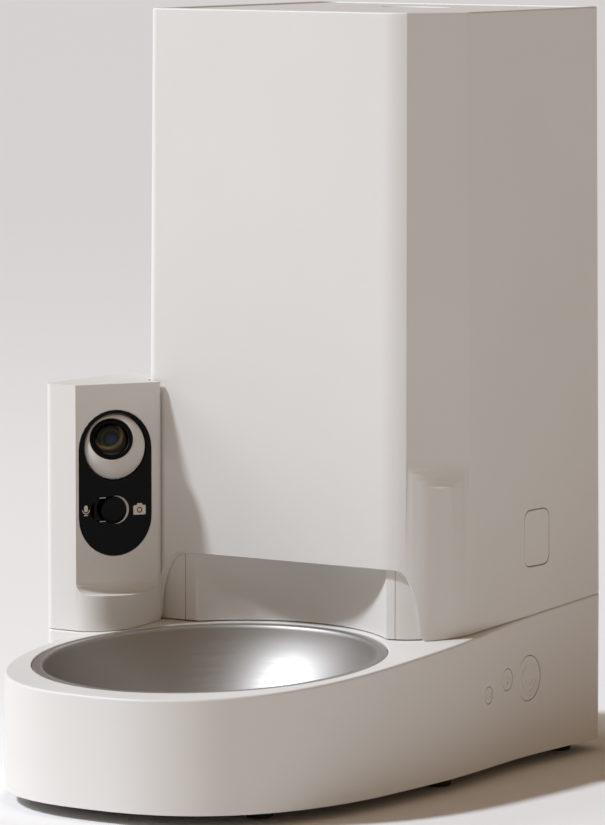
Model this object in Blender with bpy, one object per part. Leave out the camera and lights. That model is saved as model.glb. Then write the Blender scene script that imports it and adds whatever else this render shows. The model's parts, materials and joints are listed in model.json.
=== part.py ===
"""Automatic pet feeder with a camera tower, a steel bowl and a lift-off food hopper.

Units are metres, +Z is up, the bowl and the camera face -Y, and the camera
tower stands at the front left corner. Every piece is drawn from the axis of
the bowl, and one empty then brings the middle of the footprint to the origin.
"""
import bmesh
import bpy
from math import atan, cos, pi, radians, sin, sqrt, tan
from mathutils import Matrix, Vector

for item in list(bpy.data.objects):
    bpy.data.objects.remove(item, do_unlink=True)

# Driving sizes of the whole feeder
CLEAR = 0.0003
OVERRUN = 0.002
WALL = 0.0025
FOOT_HEIGHT = 0.006
DECK_HEIGHT = 0.0656
DECK_SLOPE = radians(3.65)
BODY_TOP = 0.371
BODY_HALF_WIDTH = 0.0865
BODY_FRONT = 0.065
BODY_REAR = 0.2225
BODY_DRAFT = 0.0025
CORNER_GRIP_RADIUS = 0.0325
CORNER_TOWER_RADIUS = 0.0070
CORNER_LEAST = 0.0010
CORNER_REAR_RADIUS = 0.014

# Base: a round nose under the bowl that draws in to the width of the body
BASE_HALF_WIDTH = 0.094
NOSE_CENTRE_Y = 0.030
NOSE_MARGIN = 0.005
NOSE_REACH = NOSE_CENTRE_Y + BASE_HALF_WIDTH + NOSE_MARGIN
NOSE_ROUNDNESS_SHARE = 2.5
DRAW_IN_START = 0.056
DRAW_IN_END = 0.160
BASE_FRONT = NOSE_CENTRE_Y - NOSE_REACH

# Bowl recess in the deck, measured square to the sloped deck
DECK_MARGIN = 0.0084
RECESS_LIP_WIDTH = 0.0004
LEDGE_WIDTH = 0.0048
RECESS_RADIUS = BASE_HALF_WIDTH - DECK_MARGIN
RECESS_THROAT_RADIUS = RECESS_RADIUS - RECESS_LIP_WIDTH
POCKET_RADIUS = RECESS_THROAT_RADIUS - LEDGE_WIDTH
RECESS_LIP_DEPTH = 0.0004
LEDGE_DEPTH = 0.0024
POCKET_DEPTH = 0.0390

# Steel bowl
BOWL_PLAY = 0.0004
BOWL_FLARE = 0.0328
BOWL_FLANGE_WIDTH = 0.0047
BOWL_RIM_RADIUS = RECESS_THROAT_RADIUS - BOWL_PLAY
BOWL_RIM_THICK = 0.0018
BOWL_FLOOR_RADIUS = BOWL_RIM_RADIUS - BOWL_FLARE
BOWL_DEPTH = 0.0371
BOWL_SHEET = 0.0012

# Outlet over the bowl
OPENING_LEFT = 0.0785
OPENING_RIGHT = 0.0775
OPENING_TOP = 0.1045
OPENING_CORNER_WIDTH = 0.014
OPENING_CORNER_HEIGHT = 0.028
OPENING_CHAMFER = 0.0045
OPENING_FLARE = 0.0035
LINER_INSET = 0.0032
LINER_THICK = 0.0025
LINER_LEFT = 0.0633
LINER_RIGHT = 0.0600
CAVITY_STEP = 0.0024
CAVITY_RADIUS = RECESS_RADIUS + CAVITY_STEP
FRAME_WIDTH = 0.0810
FRAME_RISE = 0.005
FRAME_REAR = 0.086
CHASSIS_GAP = 0.002
CHASSIS_FRONT = CAVITY_RADIUS + LINER_THICK + CHASSIS_GAP
CHUTE_HALF_WIDTH = 0.017
CHUTE_WALL = 0.002
CHUTE_FOOT_FRONT = 0.0732
CHUTE_FOOT_REAR = 0.0850
CHUTE_HEAD_FRONT = 0.1020
CHUTE_HEAD_REAR = 0.1145

# Dispensing rotor and its drive
ROTOR_Y = 0.148
ROTOR_FLOOR = 0.135
HOUSING_RADIUS = 0.047
HOUSING_TOP = 0.172
HOUSING_EAR_RADIUS = 0.058
ROTOR_GAP = 0.0015
PADDLE_THICK = 0.0025
ROTOR_HUB_RADIUS = 0.012
SHAFT_RADIUS = 0.004
GEAR_MODULE = 0.0015
GEAR_TEETH = 36
PINION_TEETH = 12
GEAR_BOTTOM = 0.124
GEAR_THICK = 0.007
CASE_WALL = 0.002
CASE_BOTTOM = 0.1200
MOTOR_RADIUS = 0.016
MOTOR_HEIGHT = 0.029
POST_RADIUS = 0.004
POST_CIRCLE = 0.053

# Hopper and lid
TANK_INSET = 0.0070
TANK_WALL = 0.002
FUNNEL_TOP = 0.215
LID_SINK = 0.0008
LID_THICK = 0.004
LID_GAP = 0.0004
LID_RIM = 0.005
LID_LEDGE = 0.0074
LEDGE_THICK = 0.004
SKIRT_INSET = 0.0106
SKIRT_WALL = 0.002
SKIRT_DEPTH = 0.0115
SEAL_INSET = 0.0093
SEAL_WALL = 0.0010
SEAL_HEIGHT = 0.004
TANK_FLANGE_DROP = 0.007
TANK_FLANGE_THICK = 0.003
DIMPLE_Y = 0.177
DIMPLE_LENGTH = 0.040
DIMPLE_WIDTH = 0.018
DIMPLE_DEPTH = 0.0022
DRY_BOX_RADIUS = 0.028
DRY_BOX_DEPTH = 0.018
DRY_BOX_WALL = 0.002
DRY_COVER_THICK = 0.0022
DRY_GRIP_HEIGHT = 0.004
DRY_VENT_RADIUS = 0.0025
AGITATOR_HUB = 0.006
AGITATOR_HEIGHT = 0.030
AGITATOR_REACH = 0.036
AGITATOR_BAR = 0.0018
SENSOR_SIZE = 0.008
SENSOR_THICK = 0.005
SENSOR_Z = 0.120
MOTOR_SHAFT = 0.0015

# Grip facet on the right front corner
FACET_TURN = radians(54.0)
FACET_CUT = 0.0042
FACET_BOTTOM = 0.136
FACET_RUNOUT = 0.020
FACET_HALF_WIDTH = 0.030

# Release buttons on both sides of the body
RELEASE_Y = 0.155
RELEASE_Z = 0.113
RELEASE_WIDTH = 0.0224
RELEASE_HEIGHT = 0.0274
RELEASE_CORNER = 0.005
RELEASE_FLANGE = 0.0018
RELEASE_TRAVEL = 0.003
LATCH_THICK = 0.003
LATCH_WIDTH = 0.010
LATCH_FOOT = 0.0848
BUTTON_GAP = 0.0004

# Camera tower
TOWER_WIDTH = 0.0415
TOWER_OVERLAP = 0.011
TOWER_RIGHT = -(BODY_HALF_WIDTH - TOWER_OVERLAP)
TOWER_LEFT = TOWER_RIGHT - TOWER_WIDTH
TOWER_FRONT = 0.024
TOWER_REAR = 0.092
BALL_HEIGHT = 0.157
BALL_TO_TOP = 0.031
TOWER_TOP = BALL_HEIGHT + BALL_TO_TOP
TOWER_NOSE_RADIUS = 0.022
TOWER_EDGE_RADIUS = 0.005
TOWER_BODY_GAP = 0.0008
PANEL_TURN = radians(60.0)
PANEL_LENGTH = 0.042
PANEL_END_Y = 0.062
WINDOW_WIDTH = 0.0384
WINDOW_ABOVE_BALL = 0.018
WINDOW_BELOW_BALL = 0.0536
WINDOW_TOP = BALL_HEIGHT + WINDOW_ABOVE_BALL
WINDOW_BOTTOM = BALL_HEIGHT - WINDOW_BELOW_BALL
SHELF_DROP = 0.0184
SHELF_HEIGHT = WINDOW_BOTTOM - SHELF_DROP
SHELF_FILLET = 0.006
WINDOW_THICK = 0.0015
WINDOW_SHIFT = -0.0018
POCKET_LEDGE = 0.0015

# Camera ball, rest pose turned away from the panel as in the photograph
BALL_RADIUS = 0.0165
BALL_WALL = 0.0018
BALL_SINK = 0.005
BALL_HOLE_RADIUS = 0.0166
CAMERA_PAN_REST = radians(-22.8)
CAMERA_TILT_REST = radians(22.3)
BALL_FACE = 0.0121
BALL_BACK = 0.009
BEZEL_RADIUS = 0.0103
BEZEL_BORE = 0.0083
LENS_RADIUS = 0.0080
AXLE_RADIUS = 0.0012
AXLE_HALF = 0.0141
ARM_REACH = 0.0170
ARM_THICK = 0.0019
ARM_WIDTH = 0.005
ARM_DROP = 0.0175
PIVOT_RADIUS = 0.0015
PLATE_DROP = 0.0245
PLATE_HEIGHT = BALL_HEIGHT - PLATE_DROP
PLATE_THICK = 0.002
PAN_MOTOR_RADIUS = 0.009
PAN_MOTOR_HEIGHT = 0.014
PAN_MOTOR_SIDE = 0.0135
PAN_MOTOR_SETBACK = 0.016
PAN_MOTOR_X = TOWER_LEFT + PAN_MOTOR_SIDE
PAN_MOTOR_Y = TOWER_REAR - PAN_MOTOR_SETBACK

# Slide switch on the camera window
SWITCH_DROP = 0.031
SWITCH_Z = BALL_HEIGHT - SWITCH_DROP
SWITCH_SHIFT = -0.0007
SWITCH_RADIUS = 0.0069
SWITCH_PROUD = 0.0012
SLOT_HALF_HEIGHT = 0.0056
SLOT_TRAVEL = 0.006
SLOT_LEFT = 0.0125
SLOT_RIGHT = 0.0062
SLIDER_LENGTH = 0.020
SLIDER_HEIGHT = 0.015

# Buttons on the right side of the base
FEED_Y = 0.147
FEED_Z = 0.0445
FEED_RADIUS = 0.0110
LINK_Y = 0.125
LINK_Z = 0.0465
LINK_RADIUS = 0.0052
RESET_Y = 0.105
RESET_Z = 0.0415
RESET_RADIUS = 0.0040
BUTTON_TRAVEL = 0.0010
BUTTON_FLANGE = 0.0012
STEM_RADIUS = 0.0018
BOARD_DEPTH = 0.0129
BOARD_X = BODY_HALF_WIDTH - BOARD_DEPTH
BOARD_THICK = 0.0016
BUTTON_BOARD_FRONT = 0.094
BUTTON_BOARD_REAR = 0.162
BUTTON_BOARD_BOTTOM = 0.030
BUTTON_BOARD_TOP = 0.0600

# Base bottom, feet, screws
FOOT_RADIUS = 0.0070
FOOT_TAPER = 0.0010
FOOT_FRONT_X = 0.058
FOOT_FRONT_Y = -0.042
FOOT_MIDDLE_X = 0.078
FOOT_MIDDLE_Y = 0.079
FOOT_REAR_X = 0.068
FOOT_REAR_Y = 0.204
SCREW_FRONT_X = 0.045
SCREW_FRONT_Y = -0.030
SCREW_REAR_X = 0.064
SCREW_REAR_Y = 0.112
BOSS_RADIUS = 0.004
SCREW_HOLE = 0.0016
SCREW_SHANK = 0.0013
SCREW_HEAD = 0.0030
SCREW_HEAD_THICK = 0.0014
SCREW_LENGTH = 0.009

# Power, battery, boards and speaker inside the base
DOOR_HALF_WIDTH = 0.050
DOOR_BOTTOM = 0.014
DOOR_TOP = 0.062
TRAY_HALF_WIDTH = 0.053
TRAY_FRONT = 0.178
TRAY_REAR = 0.2185
TRAY_TOP = 0.0738
TRAY_WALL = 0.0015
CELL_RADIUS = 0.0165
CELL_HEIGHT = 0.0610
CELL_PITCH = 0.0345
MAIN_BOARD_HALF_WIDTH = 0.055
MAIN_BOARD_FRONT = 0.100
MAIN_BOARD_REAR = 0.170
MAIN_BOARD_Z = 0.017
STANDOFF_RADIUS = 0.003
STANDOFF_INSET = 0.006
CHIP_SIZE = 0.014
CHIP_HEIGHT = 0.002
SPEAKER_RADIUS = 0.020
SPEAKER_DEPTH = 0.012
SPEAKER_Y = 0.058
SPEAKER_Z = 0.036
GRILLE_SLOT = 0.0016
GRILLE_PITCH = 0.0045
GRILLE_LENGTH = 0.022
SOCKET_X = 0.063
SOCKET_Z = 0.025
SOCKET_RADIUS = 0.0055
SOCKET_BORE = 0.0036
SOCKET_BLOCK = 0.014
SOCKET_DEPTH = 0.011
TOWER_BOARD_LIFT = 0.0104
TOWER_BOARD_DROP = 0.0065
TOWER_BOARD_BOTTOM = DECK_HEIGHT + TOWER_BOARD_LIFT
TOWER_BOARD_TOP = PLATE_HEIGHT - TOWER_BOARD_DROP
TOWER_BOARD_FRONT = 0.036
TOWER_BOARD_REAR = 0.086

# Smoothness of round shapes
FINE = 64
ROUND = 40
SMALL = 20
CORNER_STEPS = 8
SHARP_ANGLE = radians(32.0)

# Colour, roughness and metal of the materials
FINISHES = {
    "white_abs": ((0.80, 0.79, 0.76), 0.42, 0.0),
    "grey_abs": ((0.42, 0.42, 0.41), 0.55, 0.0),
    "black_gloss": ((0.012, 0.011, 0.011), 0.12, 0.0),
    "brushed_steel": ((0.62, 0.61, 0.60), 0.30, 1.0),
    "dark_lens": ((0.02, 0.02, 0.03), 0.06, 0.0),
    "soft_rubber": ((0.10, 0.10, 0.10), 0.80, 0.0),
    "clear_tank": ((0.62, 0.62, 0.60), 0.35, 0.0),
    "board_green": ((0.03, 0.16, 0.07), 0.50, 0.0),
    "acetal": ((0.85, 0.84, 0.80), 0.45, 0.0),
    "plated_steel": ((0.55, 0.55, 0.54), 0.35, 1.0),
}

# The empty that carries everything, so that the origin is under the middle
feeder = bpy.data.objects.new("feeder", None)
feeder.location = (
    -(TOWER_LEFT + BASE_HALF_WIDTH) / 2,
    -(BASE_FRONT + BODY_REAR) / 2,
    0,
)
bpy.context.collection.objects.link(feeder)


def finish(name):
    """One Principled material for each object, from the table of finishes."""
    colour, roughness, metallic = FINISHES[name]
    material = bpy.data.materials.new(name)
    material.use_nodes = True
    shader = material.node_tree.nodes["Principled BSDF"]
    shader.inputs["Base Color"].default_value = (*colour, 1.0)
    shader.inputs["Roughness"].default_value = roughness
    shader.inputs["Metallic"].default_value = metallic
    return material


def deck_z(y):
    """Height of the sloped deck plane above the floor."""
    return DECK_HEIGHT + y * tan(DECK_SLOPE)


def deck_frame():
    """Frame on the deck at the bowl's axis, with Z square to the deck."""
    return Matrix.Translation((0, 0, DECK_HEIGHT)) @ Matrix.Rotation(DECK_SLOPE, 4, "X")


def arc(centre, radius, start, end, steps):
    """Points along an arc, angles in radians counter-clockwise from +X."""
    points = []
    for i in range(steps + 1):
        angle = start + (end - start) * i / steps
        points.append((centre[0] + radius * cos(angle), centre[1] + radius * sin(angle)))
    return points


def circle(centre, radius, steps):
    """A closed circle of points."""
    return arc(centre, radius, 0, 2 * pi * (1 - 1 / steps), steps - 1)


def rounded(left, right, low, high, radius, steps=CORNER_STEPS):
    """A rectangle with round corners, counter-clockwise."""
    return (
        arc((right - radius, low + radius), radius, -pi / 2, 0, steps)
        + arc((right - radius, high - radius), radius, 0, pi / 2, steps)
        + arc((left + radius, high - radius), radius, pi / 2, pi, steps)
        + arc((left + radius, low + radius), radius, pi, 3 * pi / 2, steps)
    )


def offset(outline, distance):
    """The outline moved inwards by a distance, edge by edge."""
    moved = []
    count = len(outline)
    for i in range(count):
        here = Vector(outline[i])
        before = (here - Vector(outline[i - 1])).normalized()
        after = (Vector(outline[(i + 1) % count]) - here).normalized()
        inward = Vector((-before.y - after.y, before.x + after.x)).normalized()
        spread = inward.dot(Vector((-before.y, before.x)))
        moved.append(tuple(here + inward * distance / spread))
    return moved


def body_outline(inset):
    """Outline of the upper body, drawn in by the inset on every side."""
    side = BODY_HALF_WIDTH - inset
    front = BODY_FRONT + inset
    rear = BODY_REAR - inset
    grip = CORNER_GRIP_RADIUS - inset
    tower = max(CORNER_TOWER_RADIUS - inset, CORNER_LEAST)
    back = max(CORNER_REAR_RADIUS - inset, CORNER_LEAST)
    return (
        arc((side - grip, front + grip), grip, -pi / 2, 0, 2 * CORNER_STEPS)
        + arc((side - back, rear - back), back, 0, pi / 2, CORNER_STEPS)
        + arc((-side + back, rear - back), back, pi / 2, pi, CORNER_STEPS)
        + arc((-side + tower, front + tower), tower, pi, 3 * pi / 2, CORNER_STEPS)
    )


def draft_at(z):
    """How far the body has drawn in at a height."""
    return BODY_DRAFT * (z - DECK_HEIGHT) / (BODY_TOP - DECK_HEIGHT)


def base_side(y):
    """Half width of the base behind its widest place."""
    if y <= DRAW_IN_START:
        return BASE_HALF_WIDTH
    if y >= DRAW_IN_END:
        return BODY_HALF_WIDTH
    share = (y - DRAW_IN_START) / (DRAW_IN_END - DRAW_IN_START)
    return BODY_HALF_WIDTH + (BASE_HALF_WIDTH - BODY_HALF_WIDTH) * (1 + cos(pi * share)) / 2


def base_outline():
    """Outline of the base: round nose, drawn-in sides and round rear corners."""
    right = []
    power = 2 / NOSE_ROUNDNESS_SHARE
    steps = 2 * CORNER_STEPS
    for i in range(steps + 1):
        angle = pi / 2 * i / steps
        right.append((
            BASE_HALF_WIDTH * sin(angle) ** power,
            NOSE_CENTRE_Y - NOSE_REACH * max(cos(angle), 0) ** power,
        ))
    for i in range(CORNER_STEPS + 1):
        y = DRAW_IN_START + (DRAW_IN_END - DRAW_IN_START) * i / CORNER_STEPS
        right.append((base_side(y), y))
    back = CORNER_REAR_RADIUS
    right += arc((BODY_HALF_WIDTH - back, BODY_REAR - back), back, 0, pi / 2, CORNER_STEPS)
    left = [(-x, y) for x, y in reversed(right) if x > 0]
    return right + left


def tower_outline():
    """Outline of the camera tower, before the body's corner is taken out."""
    nose = TOWER_NOSE_RADIUS
    edge = TOWER_EDGE_RADIUS
    return (
        arc((TOWER_RIGHT - nose, TOWER_FRONT + nose), nose, -pi / 2, 0, 2 * CORNER_STEPS)
        + [(TOWER_RIGHT, TOWER_REAR)]
        + arc((TOWER_LEFT + edge, TOWER_REAR - edge), edge, pi / 2, pi, CORNER_STEPS)
        + arc((TOWER_LEFT + edge, TOWER_FRONT + edge), edge, pi, 3 * pi / 2, CORNER_STEPS)
    )


def skin(rings, closed=False):
    """A mesh through rings of equal length, capped at both ends or closed on itself."""
    mesh = bmesh.new()
    rows = [[mesh.verts.new(point) for point in ring] for ring in rings]
    count = len(rows[0])
    pairs = len(rows) if closed else len(rows) - 1
    for r in range(pairs):
        low = rows[r]
        high = rows[(r + 1) % len(rows)]
        for i in range(count):
            j = (i + 1) % count
            mesh.faces.new((low[i], low[j], high[j], high[i]))
    if not closed:
        mesh.faces.new(list(reversed(rows[0])))
        mesh.faces.new(rows[-1])
    bmesh.ops.recalc_face_normals(mesh, faces=mesh.faces)
    return mesh


def prism(outline, bottom, top):
    """An upright prism, whose ends may follow the deck as functions of y."""
    low = bottom if callable(bottom) else (lambda y: bottom)
    high = top if callable(top) else (lambda y: top)
    return skin([
        [(x, y, low(y)) for x, y in outline],
        [(x, y, high(y)) for x, y in outline],
    ])


def box(x0, x1, y0, y1, z0, z1):
    """A block between two corners."""
    return prism([(x0, y0), (x1, y0), (x1, y1), (x0, y1)], z0, z1)


def rod(radius, z0, z1, centre=(0, 0), steps=SMALL, end_radius=None):
    """A round bar or a cone along Z."""
    end = radius if end_radius is None else end_radius
    return skin([
        [(x, y, z0) for x, y in circle(centre, radius, steps)],
        [(x, y, z1) for x, y in circle(centre, end, steps)],
    ])


def turned(profile, steps=FINE, centre=(0, 0)):
    """A ring turned from a closed profile of radius and height that is off the axis."""
    rings = []
    for radius, z in profile:
        rings.append([(x, y, z) for x, y in circle(centre, radius, steps)])
    return skin(rings, closed=True)


def cup(profile, steps=FINE):
    """A solid turned from an open profile whose two ends are closed by flat discs."""
    rings = []
    for radius, z in profile:
        rings.append([(x, y, z) for x, y in circle((0, 0), radius, steps)])
    return skin(rings)


def moved(mesh, matrix):
    """The mesh after a change of frame."""
    mesh.transform(matrix)
    return mesh


def solid(mesh, name="work"):
    """An object of the mesh, in the frame of the bowl's axis."""
    data = bpy.data.meshes.new(name)
    mesh.to_mesh(data)
    mesh.free()
    item = bpy.data.objects.new(name, data)
    bpy.context.collection.objects.link(item)
    return item


def combine(item, mesh, operation):
    """Apply one Boolean with a tool that is then thrown away."""
    tool = solid(mesh, "tool")
    change = item.modifiers.new("change", "BOOLEAN")
    change.operation = operation
    change.solver = "EXACT"
    change.object = tool
    with bpy.context.temp_override(object=item, active_object=item, selected_objects=[item]):
        bpy.ops.object.modifier_apply(modifier=change.name)
    data = tool.data
    bpy.data.objects.remove(tool, do_unlink=True)
    bpy.data.meshes.remove(data)
    return item


def cut(item, *meshes):
    """Take tools away from a piece."""
    for mesh in meshes:
        combine(item, mesh, "DIFFERENCE")
    return item


def join(item, *meshes):
    """Fuse more material to a piece."""
    for mesh in meshes:
        combine(item, mesh, "UNION")
    return item


def piece(name, item, look, axis=(0, 0, 0)):
    """Name a finished piece, put its origin on its axis and hang it on the feeder."""
    place = Vector(axis)
    item.data.transform(Matrix.Translation(-place))
    item.location = place
    item.parent = feeder
    item.name = name
    item.data.name = name
    item.data.materials.clear()
    item.data.materials.append(finish(look))
    item.data.shade_smooth()
    item.data.set_sharp_from_angle(angle=SHARP_ANGLE)
    return item


# Base shell: hollow D-shaped box with a foot for the tower and a cup for the bowl
def cup_outside():
    """Outside of the bowl's cup, in the deck frame."""
    return cup([
        (POCKET_RADIUS + WALL, -POCKET_DEPTH - WALL),
        (POCKET_RADIUS + WALL, -LEDGE_DEPTH - WALL),
        (RECESS_RADIUS + WALL, -LEDGE_DEPTH - WALL),
        (RECESS_RADIUS + WALL, 0),
    ])


def cup_inside():
    """Space for the bowl, in the deck frame: flared lip, ledge and pocket."""
    flare = RECESS_RADIUS - RECESS_THROAT_RADIUS
    return cup([
        (POCKET_RADIUS, -POCKET_DEPTH),
        (POCKET_RADIUS, -LEDGE_DEPTH),
        (RECESS_THROAT_RADIUS, -LEDGE_DEPTH),
        (RECESS_THROAT_RADIUS, -RECESS_LIP_DEPTH),
        (RECESS_RADIUS, 0),
        (RECESS_RADIUS + flare * OVERRUN / RECESS_LIP_DEPTH, OVERRUN),
    ])


def under_deck(y):
    """Underside of the deck."""
    return deck_z(y) - WALL


def wall_frame(y, z):
    """Frame on the right side of the base, with Z pointing out of the wall."""
    step = OVERRUN
    turn = atan((base_side(y + step) - base_side(y - step)) / (2 * step))
    out = Matrix.Rotation(-turn, 4, "Z") @ Matrix.Rotation(pi / 2, 4, "Y")
    return Matrix.Translation((base_side(y), y, z)) @ out


base = solid(prism(base_outline(), FOOT_HEIGHT, deck_z))
join(base, prism(tower_outline(), FOOT_HEIGHT, deck_z))
hollow = solid(prism(offset(base_outline(), WALL), FOOT_HEIGHT - OVERRUN, under_deck))
join(hollow, prism(offset(tower_outline(), WALL), FOOT_HEIGHT - OVERRUN, under_deck))
cut(hollow, moved(cup_outside(), deck_frame()))
hollow_mesh = bmesh.new()
hollow_mesh.from_mesh(hollow.data)
bpy.data.objects.remove(hollow, do_unlink=True)
cut(base, hollow_mesh, moved(cup_inside(), deck_frame()))

COVER_TOP = FOOT_HEIGHT + WALL
FOOT_SPOTS = ((FOOT_FRONT_X, FOOT_FRONT_Y), (FOOT_MIDDLE_X, FOOT_MIDDLE_Y), (FOOT_REAR_X, FOOT_REAR_Y))
SCREW_SPOTS = ((SCREW_FRONT_X, SCREW_FRONT_Y), (SCREW_REAR_X, SCREW_REAR_Y))
BUTTONS = (
    ("feed_button", FEED_Y, FEED_Z, FEED_RADIUS),
    ("wifi_button", LINK_Y, LINK_Z, LINK_RADIUS),
    ("reset_button", RESET_Y, RESET_Z, RESET_RADIUS),
)
for x, y in SCREW_SPOTS:
    for side in (-1, 1):
        spot = (side * x, y)
        near_bowl = sqrt(x * x + y * y) < POCKET_RADIUS
        drop = POCKET_DEPTH + WALL / 2 if near_bowl else WALL / 2
        join(base, rod(BOSS_RADIUS, COVER_TOP + CLEAR, deck_z(y) - drop, spot))
        cut(base, rod(SCREW_HOLE, 0, FOOT_HEIGHT + SCREW_LENGTH + WALL, spot, SMALL // 2))

door_window = box(
    -DOOR_HALF_WIDTH, DOOR_HALF_WIDTH, BODY_REAR - WALL - OVERRUN, BODY_REAR + OVERRUN,
    DOOR_BOTTOM, DOOR_TOP,
)
socket_frame = Matrix.Translation((SOCKET_X, BODY_REAR, SOCKET_Z)) @ Matrix.Rotation(-pi / 2, 4, "X")
cut(
    base,
    door_window,
    moved(rod(SOCKET_RADIUS, -WALL - OVERRUN, OVERRUN), socket_frame),
)
for i in range(-2, 3):
    slot_z = SPEAKER_Z + i * GRILLE_PITCH
    cut(base, box(
        TOWER_LEFT - OVERRUN, TOWER_LEFT + WALL + OVERRUN,
        SPEAKER_Y - GRILLE_LENGTH / 2, SPEAKER_Y + GRILLE_LENGTH / 2,
        slot_z - GRILLE_SLOT / 2, slot_z + GRILLE_SLOT / 2,
    ))
for name, y, z, radius in BUTTONS:
    hole = rod(radius + BUTTON_GAP, -WALL - 2 * OVERRUN, 2 * OVERRUN, steps=ROUND)
    cut(base, moved(hole, wall_frame(y, z)))
BOARD_POSTS = (
    (BUTTON_BOARD_FRONT + BOSS_RADIUS, BUTTON_BOARD_TOP - BOSS_RADIUS),
    (BUTTON_BOARD_REAR - BOSS_RADIUS, BUTTON_BOARD_TOP - BOSS_RADIUS),
)
for y, z in BOARD_POSTS:
    post_frame = Matrix.Translation((BOARD_X + CLEAR, y, z)) @ Matrix.Rotation(pi / 2, 4, "Y")
    join(base, moved(rod(BOSS_RADIUS / 2, 0, base_side(y) - WALL / 2 - BOARD_X, steps=SMALL // 2), post_frame))
piece("base_shell", base, "white_abs")

# Bottom cover with standoffs, counterbored for the screws
cover = solid(prism(offset(base_outline(), WALL + CLEAR), FOOT_HEIGHT, COVER_TOP))
join(cover, prism(offset(tower_outline(), WALL + CLEAR), FOOT_HEIGHT, COVER_TOP))
for side in (-1, 1):
    for y in (MAIN_BOARD_FRONT + STANDOFF_INSET, MAIN_BOARD_REAR - STANDOFF_INSET):
        spot = (side * (MAIN_BOARD_HALF_WIDTH - STANDOFF_INSET), y)
        join(cover, rod(STANDOFF_RADIUS, FOOT_HEIGHT + WALL / 2, MAIN_BOARD_Z - CLEAR, spot, SMALL // 2))
for x, y in SCREW_SPOTS:
    for side in (-1, 1):
        spot = (side * x, y)
        cut(
            cover,
            rod(SCREW_HOLE, 0, COVER_TOP + OVERRUN, spot, SMALL // 2),
            rod(SCREW_HEAD + CLEAR, 0, FOOT_HEIGHT + SCREW_HEAD_THICK + CLEAR, spot),
        )
piece("base_bottom_cover", cover, "grey_abs")

# Screws and feet, one object each
number = 0
for x, y in SCREW_SPOTS:
    for side in (-1, 1):
        number += 1
        spot = (side * x, y)
        screw = solid(rod(SCREW_HEAD, FOOT_HEIGHT, FOOT_HEIGHT + SCREW_HEAD_THICK, spot, SMALL))
        join(screw, rod(SCREW_SHANK, FOOT_HEIGHT + SCREW_HEAD_THICK / 2, FOOT_HEIGHT + SCREW_LENGTH, spot, SMALL // 2))
        piece(f"cover_screw_{number}", screw, "plated_steel")
number = 0
for x, y in FOOT_SPOTS:
    for side in (-1, 1):
        number += 1
        foot = rod(FOOT_RADIUS - FOOT_TAPER, 0, FOOT_HEIGHT - CLEAR, (side * x, y), SMALL, FOOT_RADIUS)
        piece(f"rubber_foot_{number}", solid(foot), "soft_rubber")

# Steel bowl: pressed sheet with a flat rim flange that rests on the ledge
RIM_LOW = -LEDGE_DEPTH + CLEAR
RIM_TOP = RIM_LOW + BOWL_RIM_THICK
WALL_TOP_RADIUS = BOWL_RIM_RADIUS - BOWL_FLANGE_WIDTH
MID_SHARE = 0.45
LOW_SHARE = 0.80
mid_radius = WALL_TOP_RADIUS - (WALL_TOP_RADIUS - BOWL_FLOOR_RADIUS) * MID_SHARE * MID_SHARE
low_radius = WALL_TOP_RADIUS - (WALL_TOP_RADIUS - BOWL_FLOOR_RADIUS) * LOW_SHARE * LOW_SHARE
mid_z = RIM_TOP - BOWL_DEPTH * MID_SHARE
low_z = RIM_TOP - BOWL_DEPTH * LOW_SHARE
floor_z = RIM_TOP - BOWL_DEPTH
bowl = solid(moved(cup([
    (BOWL_FLOOR_RADIUS - BOWL_SHEET, floor_z - BOWL_SHEET),
    (low_radius + BOWL_SHEET / 2, low_z - BOWL_SHEET),
    (mid_radius + BOWL_SHEET, mid_z - BOWL_SHEET / 2),
    (WALL_TOP_RADIUS, RIM_LOW - BOWL_RIM_THICK),
    (WALL_TOP_RADIUS, RIM_LOW),
    (BOWL_RIM_RADIUS - BOWL_RIM_THICK / 4, RIM_LOW),
    (BOWL_RIM_RADIUS, RIM_LOW + BOWL_RIM_THICK / 4),
    (BOWL_RIM_RADIUS, RIM_TOP - BOWL_RIM_THICK / 4),
    (BOWL_RIM_RADIUS - BOWL_RIM_THICK / 4, RIM_TOP),
    (WALL_TOP_RADIUS - BOWL_SHEET / 2, RIM_TOP),
    (WALL_TOP_RADIUS - BOWL_SHEET, RIM_TOP - BOWL_SHEET / 2),
    (mid_radius, mid_z),
    (low_radius, low_z),
    (BOWL_FLOOR_RADIUS, floor_z),
]), deck_frame()))
piece("steel_bowl", bowl, "brushed_steel", (0, 0, DECK_HEIGHT))

# Buttons on the base and the board behind them
for name, y, z, radius in BUTTONS:
    frame = wall_frame(y, z)
    reach = (base_side(y) - BOARD_X) - BUTTON_TRAVEL - 2 * CLEAR
    flange_top = -WALL - CLEAR - BUTTON_GAP
    cap = solid(moved(rod(radius, flange_top - BUTTON_FLANGE / 2, 0, steps=ROUND), frame))
    join(
        cap,
        moved(rod(radius + BUTTON_FLANGE, flange_top - BUTTON_FLANGE, flange_top, steps=ROUND), frame),
        moved(rod(STEM_RADIUS, -reach, flange_top - BUTTON_FLANGE / 2, steps=SMALL // 2), frame),
    )
    piece(name, cap, "white_abs", (base_side(y), y, z))
piece("button_board", solid(box(
    BOARD_X - BOARD_THICK, BOARD_X, BUTTON_BOARD_FRONT, BUTTON_BOARD_REAR,
    BUTTON_BOARD_BOTTOM, BUTTON_BOARD_TOP,
)), "board_green")

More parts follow.
